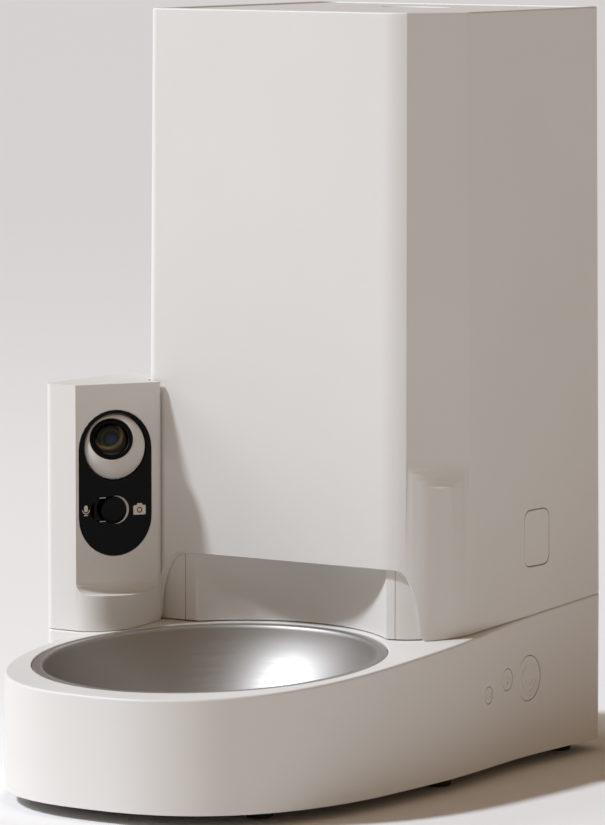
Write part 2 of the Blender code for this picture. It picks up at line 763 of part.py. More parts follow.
# Battery door, hinged along its lower edge in the rear wall
DOOR_AXIS_Y = BODY_REAR - WALL / 2
DOOR_AXIS_Z = DOOR_BOTTOM + BUTTON_GAP + WALL / 2
door_width = DOOR_HALF_WIDTH - BUTTON_GAP
door = solid(box(
    -door_width, door_width, BODY_REAR - WALL, BODY_REAR, DOOR_AXIS_Z, DOOR_TOP - BUTTON_GAP,
))
knuckle_frame = Matrix.Translation((-door_width, DOOR_AXIS_Y, DOOR_AXIS_Z)) @ Matrix.Rotation(pi / 2, 4, "Y")
join(door, moved(rod(WALL / 2, 0, 2 * door_width, steps=SMALL), knuckle_frame))
piece("battery_door", door, "white_abs", (0, DOOR_AXIS_Y, DOOR_AXIS_Z))

# Battery tray, open to the door, with three cells
tray_floor = COVER_TOP + CLEAR
tray = solid(box(-TRAY_HALF_WIDTH, TRAY_HALF_WIDTH, TRAY_FRONT, TRAY_REAR, tray_floor, TRAY_TOP))
cut(tray, box(
    -TRAY_HALF_WIDTH + TRAY_WALL, TRAY_HALF_WIDTH - TRAY_WALL, TRAY_FRONT + TRAY_WALL,
    TRAY_REAR + OVERRUN, tray_floor + TRAY_WALL, TRAY_TOP - TRAY_WALL,
))
piece("battery_tray", tray, "grey_abs")
for i in (-1, 0, 1):
    spot = (i * CELL_PITCH, TRAY_FRONT + TRAY_WALL + CLEAR + CELL_RADIUS)
    cell_floor = tray_floor + TRAY_WALL + CLEAR
    cell = solid(rod(CELL_RADIUS, cell_floor, cell_floor + CELL_HEIGHT - WALL, spot, SMALL))
    join(cell, rod(CELL_RADIUS / 3, cell_floor + CELL_HEIGHT - 2 * WALL, cell_floor + CELL_HEIGHT, spot, SMALL // 2))
    piece(f"battery_cell_{i + 2}", cell, "plated_steel")

# Main board on its standoffs
board = solid(box(
    -MAIN_BOARD_HALF_WIDTH, MAIN_BOARD_HALF_WIDTH, MAIN_BOARD_FRONT, MAIN_BOARD_REAR,
    MAIN_BOARD_Z, MAIN_BOARD_Z + BOARD_THICK,
))
for x_share, y_share in ((-0.45, 0.35), (0.10, 0.60), (0.55, 0.30)):
    chip_x = MAIN_BOARD_HALF_WIDTH * x_share
    chip_y = MAIN_BOARD_FRONT + (MAIN_BOARD_REAR - MAIN_BOARD_FRONT) * y_share
    join(board, box(
        chip_x - CHIP_SIZE / 2, chip_x + CHIP_SIZE / 2, chip_y - CHIP_SIZE / 2, chip_y + CHIP_SIZE / 2,
        MAIN_BOARD_Z + BOARD_THICK / 2, MAIN_BOARD_Z + BOARD_THICK + CHIP_HEIGHT,
    ))
piece("main_board", board, "board_green")

# Speaker behind the sound slots in the foot of the tower
speaker_frame = Matrix.Translation((TOWER_LEFT + WALL + CLEAR, SPEAKER_Y, SPEAKER_Z)) @ Matrix.Rotation(pi / 2, 4, "Y")
speaker = solid(moved(cup([
    (SPEAKER_RADIUS, 0),
    (SPEAKER_RADIUS, SPEAKER_DEPTH / 4),
    (SPEAKER_RADIUS / 2, SPEAKER_DEPTH * 2 / 3),
    (SPEAKER_RADIUS / 2, SPEAKER_DEPTH),
], SMALL), speaker_frame))
piece("speaker", speaker, "plated_steel")

# Power socket, held by its collar in the rear wall
socket = solid(box(
    SOCKET_X - SOCKET_BLOCK / 2, SOCKET_X + SOCKET_BLOCK / 2,
    BODY_REAR - WALL - CLEAR - SOCKET_DEPTH, BODY_REAR - WALL - CLEAR,
    SOCKET_Z - SOCKET_BLOCK / 2, SOCKET_Z + SOCKET_BLOCK / 2,
))
join(socket, moved(rod(SOCKET_RADIUS - CLEAR, -WALL - OVERRUN, 0), socket_frame))
cut(socket, moved(rod(SOCKET_BORE, -SOCKET_DEPTH, OVERRUN, steps=SMALL), socket_frame))
piece("power_socket", socket, "black_gloss")


# Camera tower: rounded column with a flat panel cut into its front right side
PANEL_NORMAL = Vector((sin(PANEL_TURN), -cos(PANEL_TURN), 0))
PANEL_ALONG = Vector((cos(PANEL_TURN), sin(PANEL_TURN), 0))
PANEL_END = Vector((TOWER_RIGHT, PANEL_END_Y, 0))
PANEL_MIDDLE = PANEL_END - PANEL_ALONG * (PANEL_LENGTH / 2 - WINDOW_SHIFT)


def panel_frame(along, z):
    """Frame on the panel: X along it to the rear, Y up, Z out of it."""
    turn = Matrix((
        (PANEL_ALONG.x, 0, PANEL_NORMAL.x, 0),
        (PANEL_ALONG.y, 0, PANEL_NORMAL.y, 0),
        (0, 1, 0, 0),
        (0, 0, 0, 1),
    ))
    spot = PANEL_MIDDLE + PANEL_ALONG * along
    return Matrix.Translation((spot.x, spot.y, z)) @ turn


def panel_cut(depth):
    """The tool that leaves the flat panel, with a hollow fillet over the foot."""
    profile = [(TOWER_TOP + OVERRUN - SHELF_HEIGHT, -depth)]
    for i in range(CORNER_STEPS + 1):
        angle = pi / 2 * i / CORNER_STEPS
        profile.append((
            SHELF_FILLET * (1 - sin(angle)) - depth,
            SHELF_FILLET * (1 - cos(angle)) - depth,
        ))
    profile.append((-depth, PANEL_LENGTH))
    profile.append((TOWER_TOP + OVERRUN - SHELF_HEIGHT, PANEL_LENGTH))
    rings = []
    for x in (-PANEL_LENGTH, PANEL_LENGTH):
        rings.append([(x, up, out) for up, out in profile])
    return moved(skin(rings), panel_frame(0, SHELF_HEIGHT))


def stadium(width, low, high, out_low, out_high, steps=CORNER_STEPS):
    """A plate with round ends, in the panel frame at height zero."""
    radius = width / 2
    outline = (
        arc((0, high - radius), radius, 0, pi, 2 * steps)
        + arc((0, low + radius), radius, pi, 2 * pi, 2 * steps)
    )
    return prism(outline, out_low, out_high)


BALL_SPOT = panel_frame(0, BALL_HEIGHT) @ Vector((0, 0, -BALL_SINK))

tower = solid(prism(tower_outline(), lambda y: deck_z(y) + CLEAR, TOWER_TOP))
cut(tower, panel_cut(0), prism(offset(body_outline(0), -TOWER_BODY_GAP), 0, BODY_TOP))
inside = solid(prism(offset(tower_outline(), WALL), lambda y: deck_z(y) - OVERRUN, TOWER_TOP - WALL))
cut(inside, panel_cut(WALL), prism(offset(body_outline(0), -TOWER_BODY_GAP - WALL), 0, BODY_TOP))
inside_mesh = bmesh.new()
inside_mesh.from_mesh(inside.data)
bpy.data.objects.remove(inside, do_unlink=True)
cut(
    tower,
    inside_mesh,
    moved(stadium(
        WINDOW_WIDTH + 2 * CLEAR, WINDOW_BOTTOM - CLEAR, WINDOW_TOP + CLEAR,
        -WINDOW_THICK - CLEAR, OVERRUN,
    ), panel_frame(0, 0)),
    moved(stadium(
        WINDOW_WIDTH - 2 * POCKET_LEDGE, WINDOW_BOTTOM + POCKET_LEDGE, WINDOW_TOP - POCKET_LEDGE,
        -WALL - OVERRUN, OVERRUN,
    ), panel_frame(0, 0)),
)
piece("tower_shell", tower, "white_abs")

window = solid(moved(stadium(WINDOW_WIDTH, WINDOW_BOTTOM, WINDOW_TOP, -WINDOW_THICK, 0, 2 * CORNER_STEPS), panel_frame(0, 0)))
slot = solid(prism(
    rounded(-SLOT_LEFT, SLOT_RIGHT, -SLOT_HALF_HEIGHT, SLOT_HALF_HEIGHT, SLOT_HALF_HEIGHT - CLEAR),
    -WINDOW_THICK - OVERRUN, OVERRUN,
))
slot.data.transform(panel_frame(SWITCH_SHIFT, SWITCH_Z))
slot_mesh = bmesh.new()
slot_mesh.from_mesh(slot.data)
bpy.data.objects.remove(slot, do_unlink=True)
cut(
    window,
    moved(rod(BALL_HOLE_RADIUS, -WINDOW_THICK - OVERRUN, OVERRUN, steps=FINE), panel_frame(0, BALL_HEIGHT)),
    slot_mesh,
)
piece("camera_window", window, "black_gloss")

# Slide switch: round knob, a neck through the slot and a keeper behind it
switch_frame = panel_frame(SWITCH_SHIFT, SWITCH_Z)
switch = solid(moved(rod(SWITCH_RADIUS, CLEAR, SWITCH_PROUD, steps=ROUND), switch_frame))
keeper_top = -WINDOW_THICK - CLEAR
join(
    switch,
    moved(rod(SLOT_HALF_HEIGHT - 2 * CLEAR, keeper_top - CLEAR, SWITCH_PROUD / 2, steps=SMALL), switch_frame),
    moved(box(
        -SLIDER_LENGTH / 2, SLIDER_LENGTH / 2, -SLIDER_HEIGHT / 2, SLIDER_HEIGHT / 2,
        keeper_top - BUTTON_FLANGE, keeper_top,
    ), switch_frame),
)
piece("mode_switch", switch, "black_gloss", switch_frame.translation)

# Camera: a pan arm turns about the upright axis and carries the tilting ball
LENS_TURN = PANEL_TURN + CAMERA_PAN_REST
pan_frame = Matrix.Translation(BALL_SPOT) @ Matrix.Rotation(LENS_TURN - pi / 2, 4, "Z")
ball_frame = pan_frame @ Matrix.Rotation(pi / 2, 4, "Y") @ Matrix.Rotation(CAMERA_TILT_REST, 4, "Y").inverted()


def ball_mesh(radius):
    """A sphere about the lens axis."""
    mesh = bmesh.new()
    bmesh.ops.create_uvsphere(mesh, u_segments=ROUND, v_segments=ROUND // 2, radius=radius)
    return mesh


ball = solid(ball_mesh(BALL_RADIUS))
cut(
    ball,
    ball_mesh(BALL_RADIUS - BALL_WALL),
    rod(BALL_RADIUS, BALL_FACE, 2 * BALL_RADIUS, steps=ROUND),
    rod(BALL_RADIUS + OVERRUN, -2 * BALL_RADIUS, -BALL_BACK, steps=ROUND),
    rod(BEZEL_RADIUS + CLEAR, 0, BALL_RADIUS, steps=ROUND),
)
ball.data.transform(ball_frame)
piece("camera_ball", ball, "white_abs", BALL_SPOT)
bezel_low = BALL_FACE - BALL_WALL - CLEAR
piece("lens_bezel", solid(moved(turned([
    (BEZEL_BORE, bezel_low),
    (BEZEL_RADIUS, bezel_low),
    (BEZEL_RADIUS, BALL_FACE + CLEAR),
    (BEZEL_BORE + BALL_WALL / 2, BALL_FACE + CLEAR),
    (BEZEL_BORE, BALL_FACE - BALL_WALL / 2),
], ROUND), ball_frame)), "dark_lens", BALL_SPOT)
piece("lens_glass", solid(moved(cup([
    (LENS_RADIUS, bezel_low),
    (LENS_RADIUS, BALL_FACE - BALL_WALL),
    (LENS_RADIUS * 0.7, BALL_FACE - BALL_WALL / 2),
    (LENS_RADIUS * 0.3, BALL_FACE - BALL_WALL / 4),
], ROUND), ball_frame)), "dark_lens", BALL_SPOT)
piece("lens_barrel", solid(moved(rod(
    LENS_RADIUS, BEZEL_RADIUS * 0.4, bezel_low - CLEAR, steps=SMALL,
), ball_frame)), "grey_abs", BALL_SPOT)

# Pan arm: pivot pin, foot bar, riser behind the ball and the tilt axle inside it
arm = solid(box(
    -ARM_REACH - ARM_THICK, PIVOT_RADIUS, -ARM_WIDTH / 2, ARM_WIDTH / 2,
    -ARM_DROP - ARM_THICK, -ARM_DROP,
))
axle_frame = Matrix.Translation((0, -AXLE_HALF, 0)) @ Matrix.Rotation(-pi / 2, 4, "X")
join(
    arm,
    box(-ARM_REACH - ARM_THICK, -ARM_REACH, -ARM_WIDTH / 2, ARM_WIDTH / 2, -ARM_DROP - ARM_THICK / 2, AXLE_RADIUS),
    box(-ARM_REACH - ARM_THICK / 2, 0, -ARM_WIDTH / 2, ARM_WIDTH / 2, -AXLE_RADIUS * 0.9, AXLE_RADIUS * 0.9),
    moved(rod(AXLE_RADIUS, 0, 2 * AXLE_HALF, steps=SMALL // 2), axle_frame),
    rod(PIVOT_RADIUS, PLATE_HEIGHT - OVERRUN / 2 - BALL_HEIGHT, -ARM_DROP - ARM_THICK / 2, steps=SMALL // 2),
)
arm.data.transform(pan_frame)
piece("camera_pan_arm", arm, "grey_abs", BALL_SPOT)

# Shelf across the tower that carries the pivot and the pan motor
shelf_outline = offset(tower_outline(), WALL + CLEAR)
shelf = solid(prism(shelf_outline, PLATE_HEIGHT, PLATE_HEIGHT + PLATE_THICK))
cut(
    shelf,
    panel_cut(2 * WALL),
    prism(offset(body_outline(0), -TOWER_BODY_GAP - WALL - CLEAR), 0, BODY_TOP),
    rod(PIVOT_RADIUS + CLEAR, 0, BODY_TOP, (BALL_SPOT.x, BALL_SPOT.y), SMALL // 2),
)
piece("camera_shelf", shelf, "grey_abs")
motor_spot = (PAN_MOTOR_X, PAN_MOTOR_Y)
pan_motor = solid(rod(
    PAN_MOTOR_RADIUS, PLATE_HEIGHT - CLEAR - PAN_MOTOR_HEIGHT, PLATE_HEIGHT - CLEAR, motor_spot, SMALL,
))
piece("pan_motor", pan_motor, "plated_steel")
piece("tower_board", solid(box(
    TOWER_LEFT + WALL + CLEAR, TOWER_LEFT + WALL + CLEAR + BOARD_THICK,
    TOWER_BOARD_FRONT, TOWER_BOARD_REAR, TOWER_BOARD_BOTTOM, TOWER_BOARD_TOP,
)), "board_green")


# Upper body: one drawn-in shell with the outlet, the grip facet and two button windows
def body_ring(inset, height):
    """The body's outline lifted to a height, which may follow the deck."""
    level = height if callable(height) else (lambda y: height)
    return [(x, y, level(y)) for x, y in body_outline(inset)]


def above_deck(gap):
    """A height that follows the deck at a gap."""
    return lambda y: deck_z(y) + gap


def facet_tool(extra=0):
    """Tool for the flat on the grip corner, which runs out in a hollow at its foot."""
    corner = CORNER_GRIP_RADIUS - BODY_DRAFT
    side = BODY_HALF_WIDTH - BODY_DRAFT
    middle = Vector((side - corner, BODY_FRONT + BODY_DRAFT + corner, 0))
    out = Vector((sin(FACET_TURN), -cos(FACET_TURN), 0))
    along = Vector((cos(FACET_TURN), sin(FACET_TURN), 0))
    spot = middle + out * (corner - FACET_CUT - extra)
    profile = []
    for i in range(CORNER_STEPS + 1):
        angle = pi / 2 * i / CORNER_STEPS
        profile.append((FACET_RUNOUT * (1 - cos(angle)), FACET_RUNOUT * (1 - sin(angle))))
    profile = [(up, depth) for up, depth in reversed(profile)]
    profile = [(BODY_TOP + OVERRUN - FACET_BOTTOM, 0)] + profile
    profile.append((0, 2 * FACET_RUNOUT))
    profile.append((BODY_TOP + OVERRUN - FACET_BOTTOM, 2 * FACET_RUNOUT))
    rings = []
    for half in (-FACET_HALF_WIDTH, FACET_HALF_WIDTH):
        ring = []
        for up, depth in profile:
            lean = BODY_DRAFT - draft_at(FACET_BOTTOM + up)
            ring.append(tuple(spot + along * half + out * (depth + lean) + Vector((0, 0, FACET_BOTTOM + up))))
        rings.append(ring)
    return skin(rings)


def opening_ring(y, inward):
    """Outline of the outlet at a depth behind the front, drawn in by a distance."""
    low = DECK_HEIGHT - 2 * OVERRUN
    foot = deck_z(BODY_FRONT)
    left = OPENING_LEFT - inward
    right = OPENING_RIGHT - inward
    top = OPENING_TOP - inward / 3
    wide = OPENING_CORNER_WIDTH
    tall = OPENING_CORNER_HEIGHT
    points = []
    for i in range(CORNER_STEPS + 1):
        angle = pi / 2 * i / CORNER_STEPS
        points.append((right - wide + wide * cos(angle), top - tall + tall * sin(angle)))
    for i in range(CORNER_STEPS + 1):
        angle = pi / 2 + pi / 2 * i / CORNER_STEPS
        points.append((-left + wide + wide * cos(angle), top - tall + tall * sin(angle)))
    flare = OPENING_FLARE
    points += [
        (-left, foot + flare), (-left - flare / 4, foot + flare / 3), (-left - flare, foot), (-left - flare, low),
        (right + flare, low), (right + flare, foot), (right + flare / 4, foot + flare / 3), (right, foot + flare),
    ]
    return [(x, y, z) for x, z in points]


RELEASE_X = BODY_HALF_WIDTH - draft_at(RELEASE_Z)
MIRROR_X = Matrix.Scale(-1, 4, (1, 0, 0))


def release_cap(grow, low, high):
    """Rounded plate on the right side of the body, pointing out of the wall."""
    outline = rounded(
        -RELEASE_WIDTH / 2 - grow, RELEASE_WIDTH / 2 + grow,
        -RELEASE_HEIGHT / 2 - grow, RELEASE_HEIGHT / 2 + grow, RELEASE_CORNER, CORNER_STEPS // 2,
    )
    turn = Matrix(((0, 0, 1, 0), (1, 0, 0, 0), (0, 1, 0, 0), (0, 0, 0, 1)))
    return moved(prism(outline, low, high), Matrix.Translation((RELEASE_X, RELEASE_Y, RELEASE_Z)) @ turn)


def taken(item):
    """The mesh of a working object, which is thrown away."""
    mesh = bmesh.new()
    mesh.from_mesh(item.data)
    data = item.data
    bpy.data.objects.remove(item, do_unlink=True)
    bpy.data.meshes.remove(data)
    return mesh


def flipped(mesh):
    """The mesh mirrored to the left side."""
    mesh.transform(MIRROR_X)
    bmesh.ops.reverse_faces(mesh, faces=mesh.faces)
    return mesh


LID_BOTTOM = BODY_TOP - LID_SINK - LID_THICK
LEDGE_TOP = LID_BOTTOM - CLEAR
LEDGE_LOW = LEDGE_TOP - LEDGE_THICK
ABOVE = BODY_TOP + OVERRUN
space = solid(skin([body_ring(WALL, above_deck(-OVERRUN)), body_ring(draft_at(LEDGE_LOW) + WALL, LEDGE_LOW)]))
cut(space, facet_tool(WALL))
rim_space = solid(prism(body_outline(BODY_DRAFT + LID_RIM), LEDGE_TOP, ABOVE))
cut(rim_space, facet_tool(WALL))
join(space, taken(rim_space), prism(body_outline(BODY_DRAFT + LID_LEDGE), LEDGE_LOW - OVERRUN, ABOVE))
shell = solid(skin([body_ring(0, above_deck(CLEAR)), body_ring(BODY_DRAFT, BODY_TOP)]))
cut(
    shell,
    facet_tool(),
    taken(space),
    skin([
        opening_ring(BODY_FRONT - OVERRUN, 0),
        opening_ring(BODY_FRONT + WALL / 4, 0),
        opening_ring(BODY_FRONT + WALL / 4 + OPENING_CHAMFER, OPENING_CHAMFER),
        opening_ring(FRAME_REAR, OPENING_CHAMFER),
    ]),
    release_cap(BUTTON_GAP, -WALL - OVERRUN, OVERRUN),
    flipped(release_cap(BUTTON_GAP, -WALL - OVERRUN, OVERRUN)),
)
piece("body_shell", shell, "white_abs")


# Release buttons: cap in the side wall, keeper flange behind it and a latch arm down to the deck
def release_button():
    """The right release button as a mesh."""
    flange_top = -WALL - CLEAR - BUTTON_GAP
    part = solid(release_cap(0, flange_top - RELEASE_FLANGE / 2, 0))
    join(part, release_cap(RELEASE_FLANGE, flange_top - RELEASE_FLANGE, flange_top))
    arm_x = RELEASE_X + flange_top - RELEASE_FLANGE / 2
    arm_low = RELEASE_X + flange_top - RELEASE_FLANGE - LATCH_THICK
    join(
        part,
        box(arm_low, arm_x, RELEASE_Y - LATCH_WIDTH / 2, RELEASE_Y + LATCH_WIDTH / 2, LATCH_FOOT, RELEASE_Z),
        box(
            arm_low - LATCH_THICK, arm_x - LATCH_THICK / 2, RELEASE_Y - LATCH_WIDTH / 2,
            RELEASE_Y + LATCH_WIDTH / 2, LATCH_FOOT, LATCH_FOOT + LATCH_THICK,
        ),
    )
    return taken(part)


piece("release_button_right", solid(release_button()), "white_abs", (RELEASE_X, RELEASE_Y, RELEASE_Z))
piece("release_button_left", solid(flipped(release_button())), "white_abs", (-RELEASE_X, RELEASE_Y, RELEASE_Z))

# Outlet: frame behind the opening, and a liner with a round wall and a ceiling
LINER_TOP = OPENING_TOP + LINER_THICK
FRAME_LOW = 2 * CLEAR
outlet = solid(prism(body_outline(LINER_INSET), above_deck(FRAME_LOW), LINER_TOP + FRAME_RISE))
cut(
    outlet,
    prism(body_outline(LINER_INSET + LINER_THICK), 0, BODY_TOP),
    box(-BODY_HALF_WIDTH, -FRAME_WIDTH, 0, BODY_REAR, 0, BODY_TOP),
    box(FRAME_WIDTH, BODY_HALF_WIDTH, 0, BODY_REAR, 0, BODY_TOP),
    box(-BODY_HALF_WIDTH, BODY_HALF_WIDTH, FRAME_REAR, BODY_REAR, 0, BODY_TOP),
    box(
        -LINER_LEFT - CLEAR, LINER_RIGHT + CLEAR, 0, BODY_REAR,
        0, LINER_TOP + CLEAR,
    ),
)
piece("opening_frame", outlet, "white_abs")
drum = solid(prism(circle((0, 0), CAVITY_RADIUS + LINER_THICK, FINE), above_deck(FRAME_LOW), LINER_TOP))
combine(drum, prism(body_outline(LINER_INSET), 0, BODY_TOP), "INTERSECT")
band = solid(prism(body_outline(LINER_INSET), above_deck(FRAME_LOW), LINER_TOP))
cut(
    band,
    prism(body_outline(LINER_INSET + LINER_THICK), 0, BODY_TOP),
    box(-BODY_HALF_WIDTH, -LINER_LEFT, 0, BODY_REAR, 0, BODY_TOP),
    box(LINER_RIGHT, BODY_HALF_WIDTH, 0, BODY_REAR, 0, BODY_TOP),
    box(-BODY_HALF_WIDTH, BODY_HALF_WIDTH, FRAME_REAR, BODY_REAR, 0, BODY_TOP),
)
join(drum, taken(band))
cut(
    drum,
    rod(CAVITY_RADIUS, 0, OPENING_TOP, steps=FINE),
    box(
        -CHUTE_HALF_WIDTH, CHUTE_HALF_WIDTH, CHUTE_FOOT_FRONT, CHUTE_FOOT_REAR,
        OPENING_TOP - OVERRUN, LINER_TOP + OVERRUN,
    ),
)
piece("outlet_liner", drum, "white_abs")


# Chute: a leaning square tube from the rotor's exit to the hole over the bowl
def chute_ring(grow, share, beyond):
    """A section of the chute, from its foot at zero to its head at one."""
    low = LINER_TOP + CLEAR
    high = ROTOR_FLOOR - CLEAR
    z = low + (high - low) * share + beyond
    front = CHUTE_FOOT_FRONT + (CHUTE_HEAD_FRONT - CHUTE_FOOT_FRONT) * share - grow
    rear = CHUTE_FOOT_REAR + (CHUTE_HEAD_REAR - CHUTE_FOOT_REAR) * share + grow
    half = CHUTE_HALF_WIDTH + grow
    return [(-half, front, z), (half, front, z), (half, rear, z), (-half, rear, z)]


chute = skin([
    chute_ring(CHUTE_WALL, 0, 0), chute_ring(CHUTE_WALL, 1, 0),
    chute_ring(0, 1, 0), chute_ring(0, 0, 0),
], closed=True)
piece("chute", solid(chute), "acetal")
for name, side in (("food_sensor_right", 1), ("food_sensor_left", -1)):
    near = CHUTE_HALF_WIDTH + CHUTE_WALL + CLEAR
    far = near + SENSOR_THICK
    middle_y = (CHUTE_FOOT_FRONT + CHUTE_HEAD_REAR) / 2
    piece(name, solid(box(
        min(side * near, side * far), max(side * near, side * far),
        middle_y - SENSOR_SIZE / 2, middle_y + SENSOR_SIZE / 2,
        SENSOR_Z - SENSOR_SIZE / 2, SENSOR_Z + SENSOR_SIZE / 2,
    )), "black_gloss")

# Chassis plate across the foot of the body, with four posts for the rotor housing
chassis = solid(prism(body_outline(WALL + CLEAR), above_deck(FRAME_LOW), above_deck(FRAME_LOW + WALL)))
cut(chassis, box(-BODY_HALF_WIDTH, BODY_HALF_WIDTH, 0, CHASSIS_FRONT, 0, BODY_TOP))
for x_sign in (-1, 1):
    for y_sign in (-1, 1):
        spot = (x_sign * POST_CIRCLE / sqrt(2), ROTOR_Y + y_sign * POST_CIRCLE / sqrt(2))
        join(chassis, rod(
            POST_RADIUS, deck_z(spot[1]) + FRAME_LOW + WALL / 2, ROTOR_FLOOR - CLEAR, spot, SMALL,
        ))
piece("chassis_plate", chassis, "grey_abs")

# Rotor housing: open cup on a wide floor that closes the gearbox
FLOOR_TOP = ROTOR_FLOOR + WALL
housing = solid(moved(cup([
    (HOUSING_RADIUS + WALL, ROTOR_FLOOR),
    (HOUSING_RADIUS + WALL, HOUSING_TOP),
    (HOUSING_RADIUS, HOUSING_TOP),
    (HOUSING_RADIUS, FLOOR_TOP),
]), Matrix.Translation((0, ROTOR_Y, 0))))
join(housing, rod(HOUSING_EAR_RADIUS, ROTOR_FLOOR, FLOOR_TOP, (0, ROTOR_Y), FINE))
cut(
    housing,
    rod(SHAFT_RADIUS + 2 * CLEAR, ROTOR_FLOOR - OVERRUN, FLOOR_TOP + OVERRUN, (0, ROTOR_Y), SMALL),
    box(
        -CHUTE_HALF_WIDTH, CHUTE_HALF_WIDTH, CHUTE_HEAD_FRONT, CHUTE_HEAD_REAR,
        ROTOR_FLOOR - OVERRUN, FLOOR_TOP + OVERRUN,
    ),
)
piece("rotor_housing", housing, "acetal")

# Dispensing rotor with six paddles, its shaft and the agitator on top
rotor_low = FLOOR_TOP + 2 * CLEAR
rotor_high = HOUSING_TOP - WALL
rotor = solid(rod(ROTOR_HUB_RADIUS, rotor_low, rotor_high, steps=ROUND))
for i in range(3):
    paddle = box(
        -HOUSING_RADIUS + ROTOR_GAP, HOUSING_RADIUS - ROTOR_GAP, -PADDLE_THICK / 2, PADDLE_THICK / 2,
        rotor_low, rotor_high,
    )
    join(rotor, moved(paddle, Matrix.Rotation(pi / 3 * i, 4, "Z")))
cut(rotor, rod(SHAFT_RADIUS + CLEAR, 0, BODY_TOP, steps=SMALL))
rotor.data.transform(Matrix.Translation((0, ROTOR_Y, 0)))
piece("dispensing_rotor", rotor, "soft_rubber", (0, ROTOR_Y, rotor_low))
shaft_low = CASE_BOTTOM + CASE_WALL + CLEAR
piece("rotor_shaft", solid(rod(
    SHAFT_RADIUS, shaft_low, HOUSING_TOP, (0, ROTOR_Y), SMALL,
)), "plated_steel", (0, ROTOR_Y, shaft_low))
agitator_low = HOUSING_TOP + CLEAR
agitator = solid(rod(AGITATOR_HUB, agitator_low, agitator_low + AGITATOR_HEIGHT, steps=SMALL))
for i, share in ((0, 0.25), (1, 0.75)):
    bar_z = agitator_low + AGITATOR_HEIGHT * share
    bar = box(-AGITATOR_REACH, AGITATOR_REACH, -AGITATOR_BAR, AGITATOR_BAR, bar_z - AGITATOR_BAR, bar_z + AGITATOR_BAR)
    join(agitator, moved(bar, Matrix.Rotation(pi / 2 * i, 4, "Z")))
agitator.data.transform(Matrix.Translation((0, ROTOR_Y, 0)))
piece("hopper_agitator", agitator, "acetal", (0, ROTOR_Y, agitator_low))


# Gears: a big wheel on the shaft and a pinion on the motor
def gear_outline(teeth, turn):
    """Trapezoid teeth about the origin, thinned so that the pair runs with play."""
    pitch = GEAR_MODULE * teeth / 2
    root = pitch - GEAR_MODULE * 1.15
    tip = pitch + GEAR_MODULE * 0.9
    step = 2 * pi / teeth
    points = []
    for i in range(teeth):
        middle = step * i + turn
        for radius, share in ((root, -0.34), (tip, -0.11), (tip, 0.11), (root, 0.34)):
            points.append((radius * cos(middle + step * share), radius * sin(middle + step * share)))
    return points


GEAR_TOP = GEAR_BOTTOM + GEAR_THICK
PINION_Y = ROTOR_Y + GEAR_MODULE * (GEAR_TEETH + PINION_TEETH) / 2 + CLEAR
gear = solid(prism(gear_outline(GEAR_TEETH, pi / 2), GEAR_BOTTOM, GEAR_TOP))
cut(gear, rod(SHAFT_RADIUS + CLEAR, 0, BODY_TOP, steps=SMALL))
gear.data.transform(Matrix.Translation((0, ROTOR_Y, 0)))
piece("drive_gear", gear, "acetal", (0, ROTOR_Y, GEAR_BOTTOM))
pinion = solid(prism(gear_outline(PINION_TEETH, -pi / 2 + pi / PINION_TEETH), GEAR_BOTTOM, GEAR_TOP))
join(pinion, rod(MOTOR_SHAFT, CASE_BOTTOM - 2 * CASE_WALL, GEAR_BOTTOM + GEAR_THICK / 2, steps=SMALL))
pinion.data.transform(Matrix.Translation((0, PINION_Y, 0)))
piece("motor_pinion", pinion, "acetal", (0, PINION_Y, GEAR_BOTTOM))
CASE_HALF = GEAR_MODULE * (GEAR_TEETH / 2 + 1) + 2 * CLEAR + CASE_WALL
CASE_REAR = PINION_Y + GEAR_MODULE * (PINION_TEETH / 2 + 1) + CASE_WALL + OVERRUN
case = solid(box(-CASE_HALF, CASE_HALF, ROTOR_Y - CASE_HALF, CASE_REAR, CASE_BOTTOM, ROTOR_FLOOR - CLEAR))
cut(
    case,
    box(
        -CASE_HALF + CASE_WALL, CASE_HALF - CASE_WALL, ROTOR_Y - CASE_HALF + CASE_WALL, CASE_REAR - CASE_WALL,
        CASE_BOTTOM + CASE_WALL, ROTOR_FLOOR + OVERRUN,
    ),
    rod(MOTOR_SHAFT + CLEAR, 0, BODY_TOP, (0, PINION_Y), SMALL),
)
piece("gearbox_case", case, "grey_abs")
motor = solid(rod(MOTOR_RADIUS, CASE_BOTTOM - CLEAR - MOTOR_HEIGHT, CASE_BOTTOM - CLEAR, (0, PINION_Y), ROUND))
cut(motor, rod(MOTOR_SHAFT + CLEAR, CASE_BOTTOM - 3 * CASE_WALL, BODY_TOP, (0, PINION_Y), SMALL))
piece("gear_motor", motor, "plated_steel")


# Hopper: a tank that follows the body and narrows to the rotor housing
def tank_ring(inset, z):
    """A section of the tank, drawn in from the body's outside at that height."""
    return body_ring(draft_at(z) + inset, z)


def mouth_ring(radius, z):
    """A circle over the rotor with as many points as the body's outline."""
    ring = []
    for x, y in body_outline(TANK_INSET):
        away = Vector((x, y - ROTOR_Y)).normalized() * radius
        ring.append((away.x, ROTOR_Y + away.y, z))
    return ring


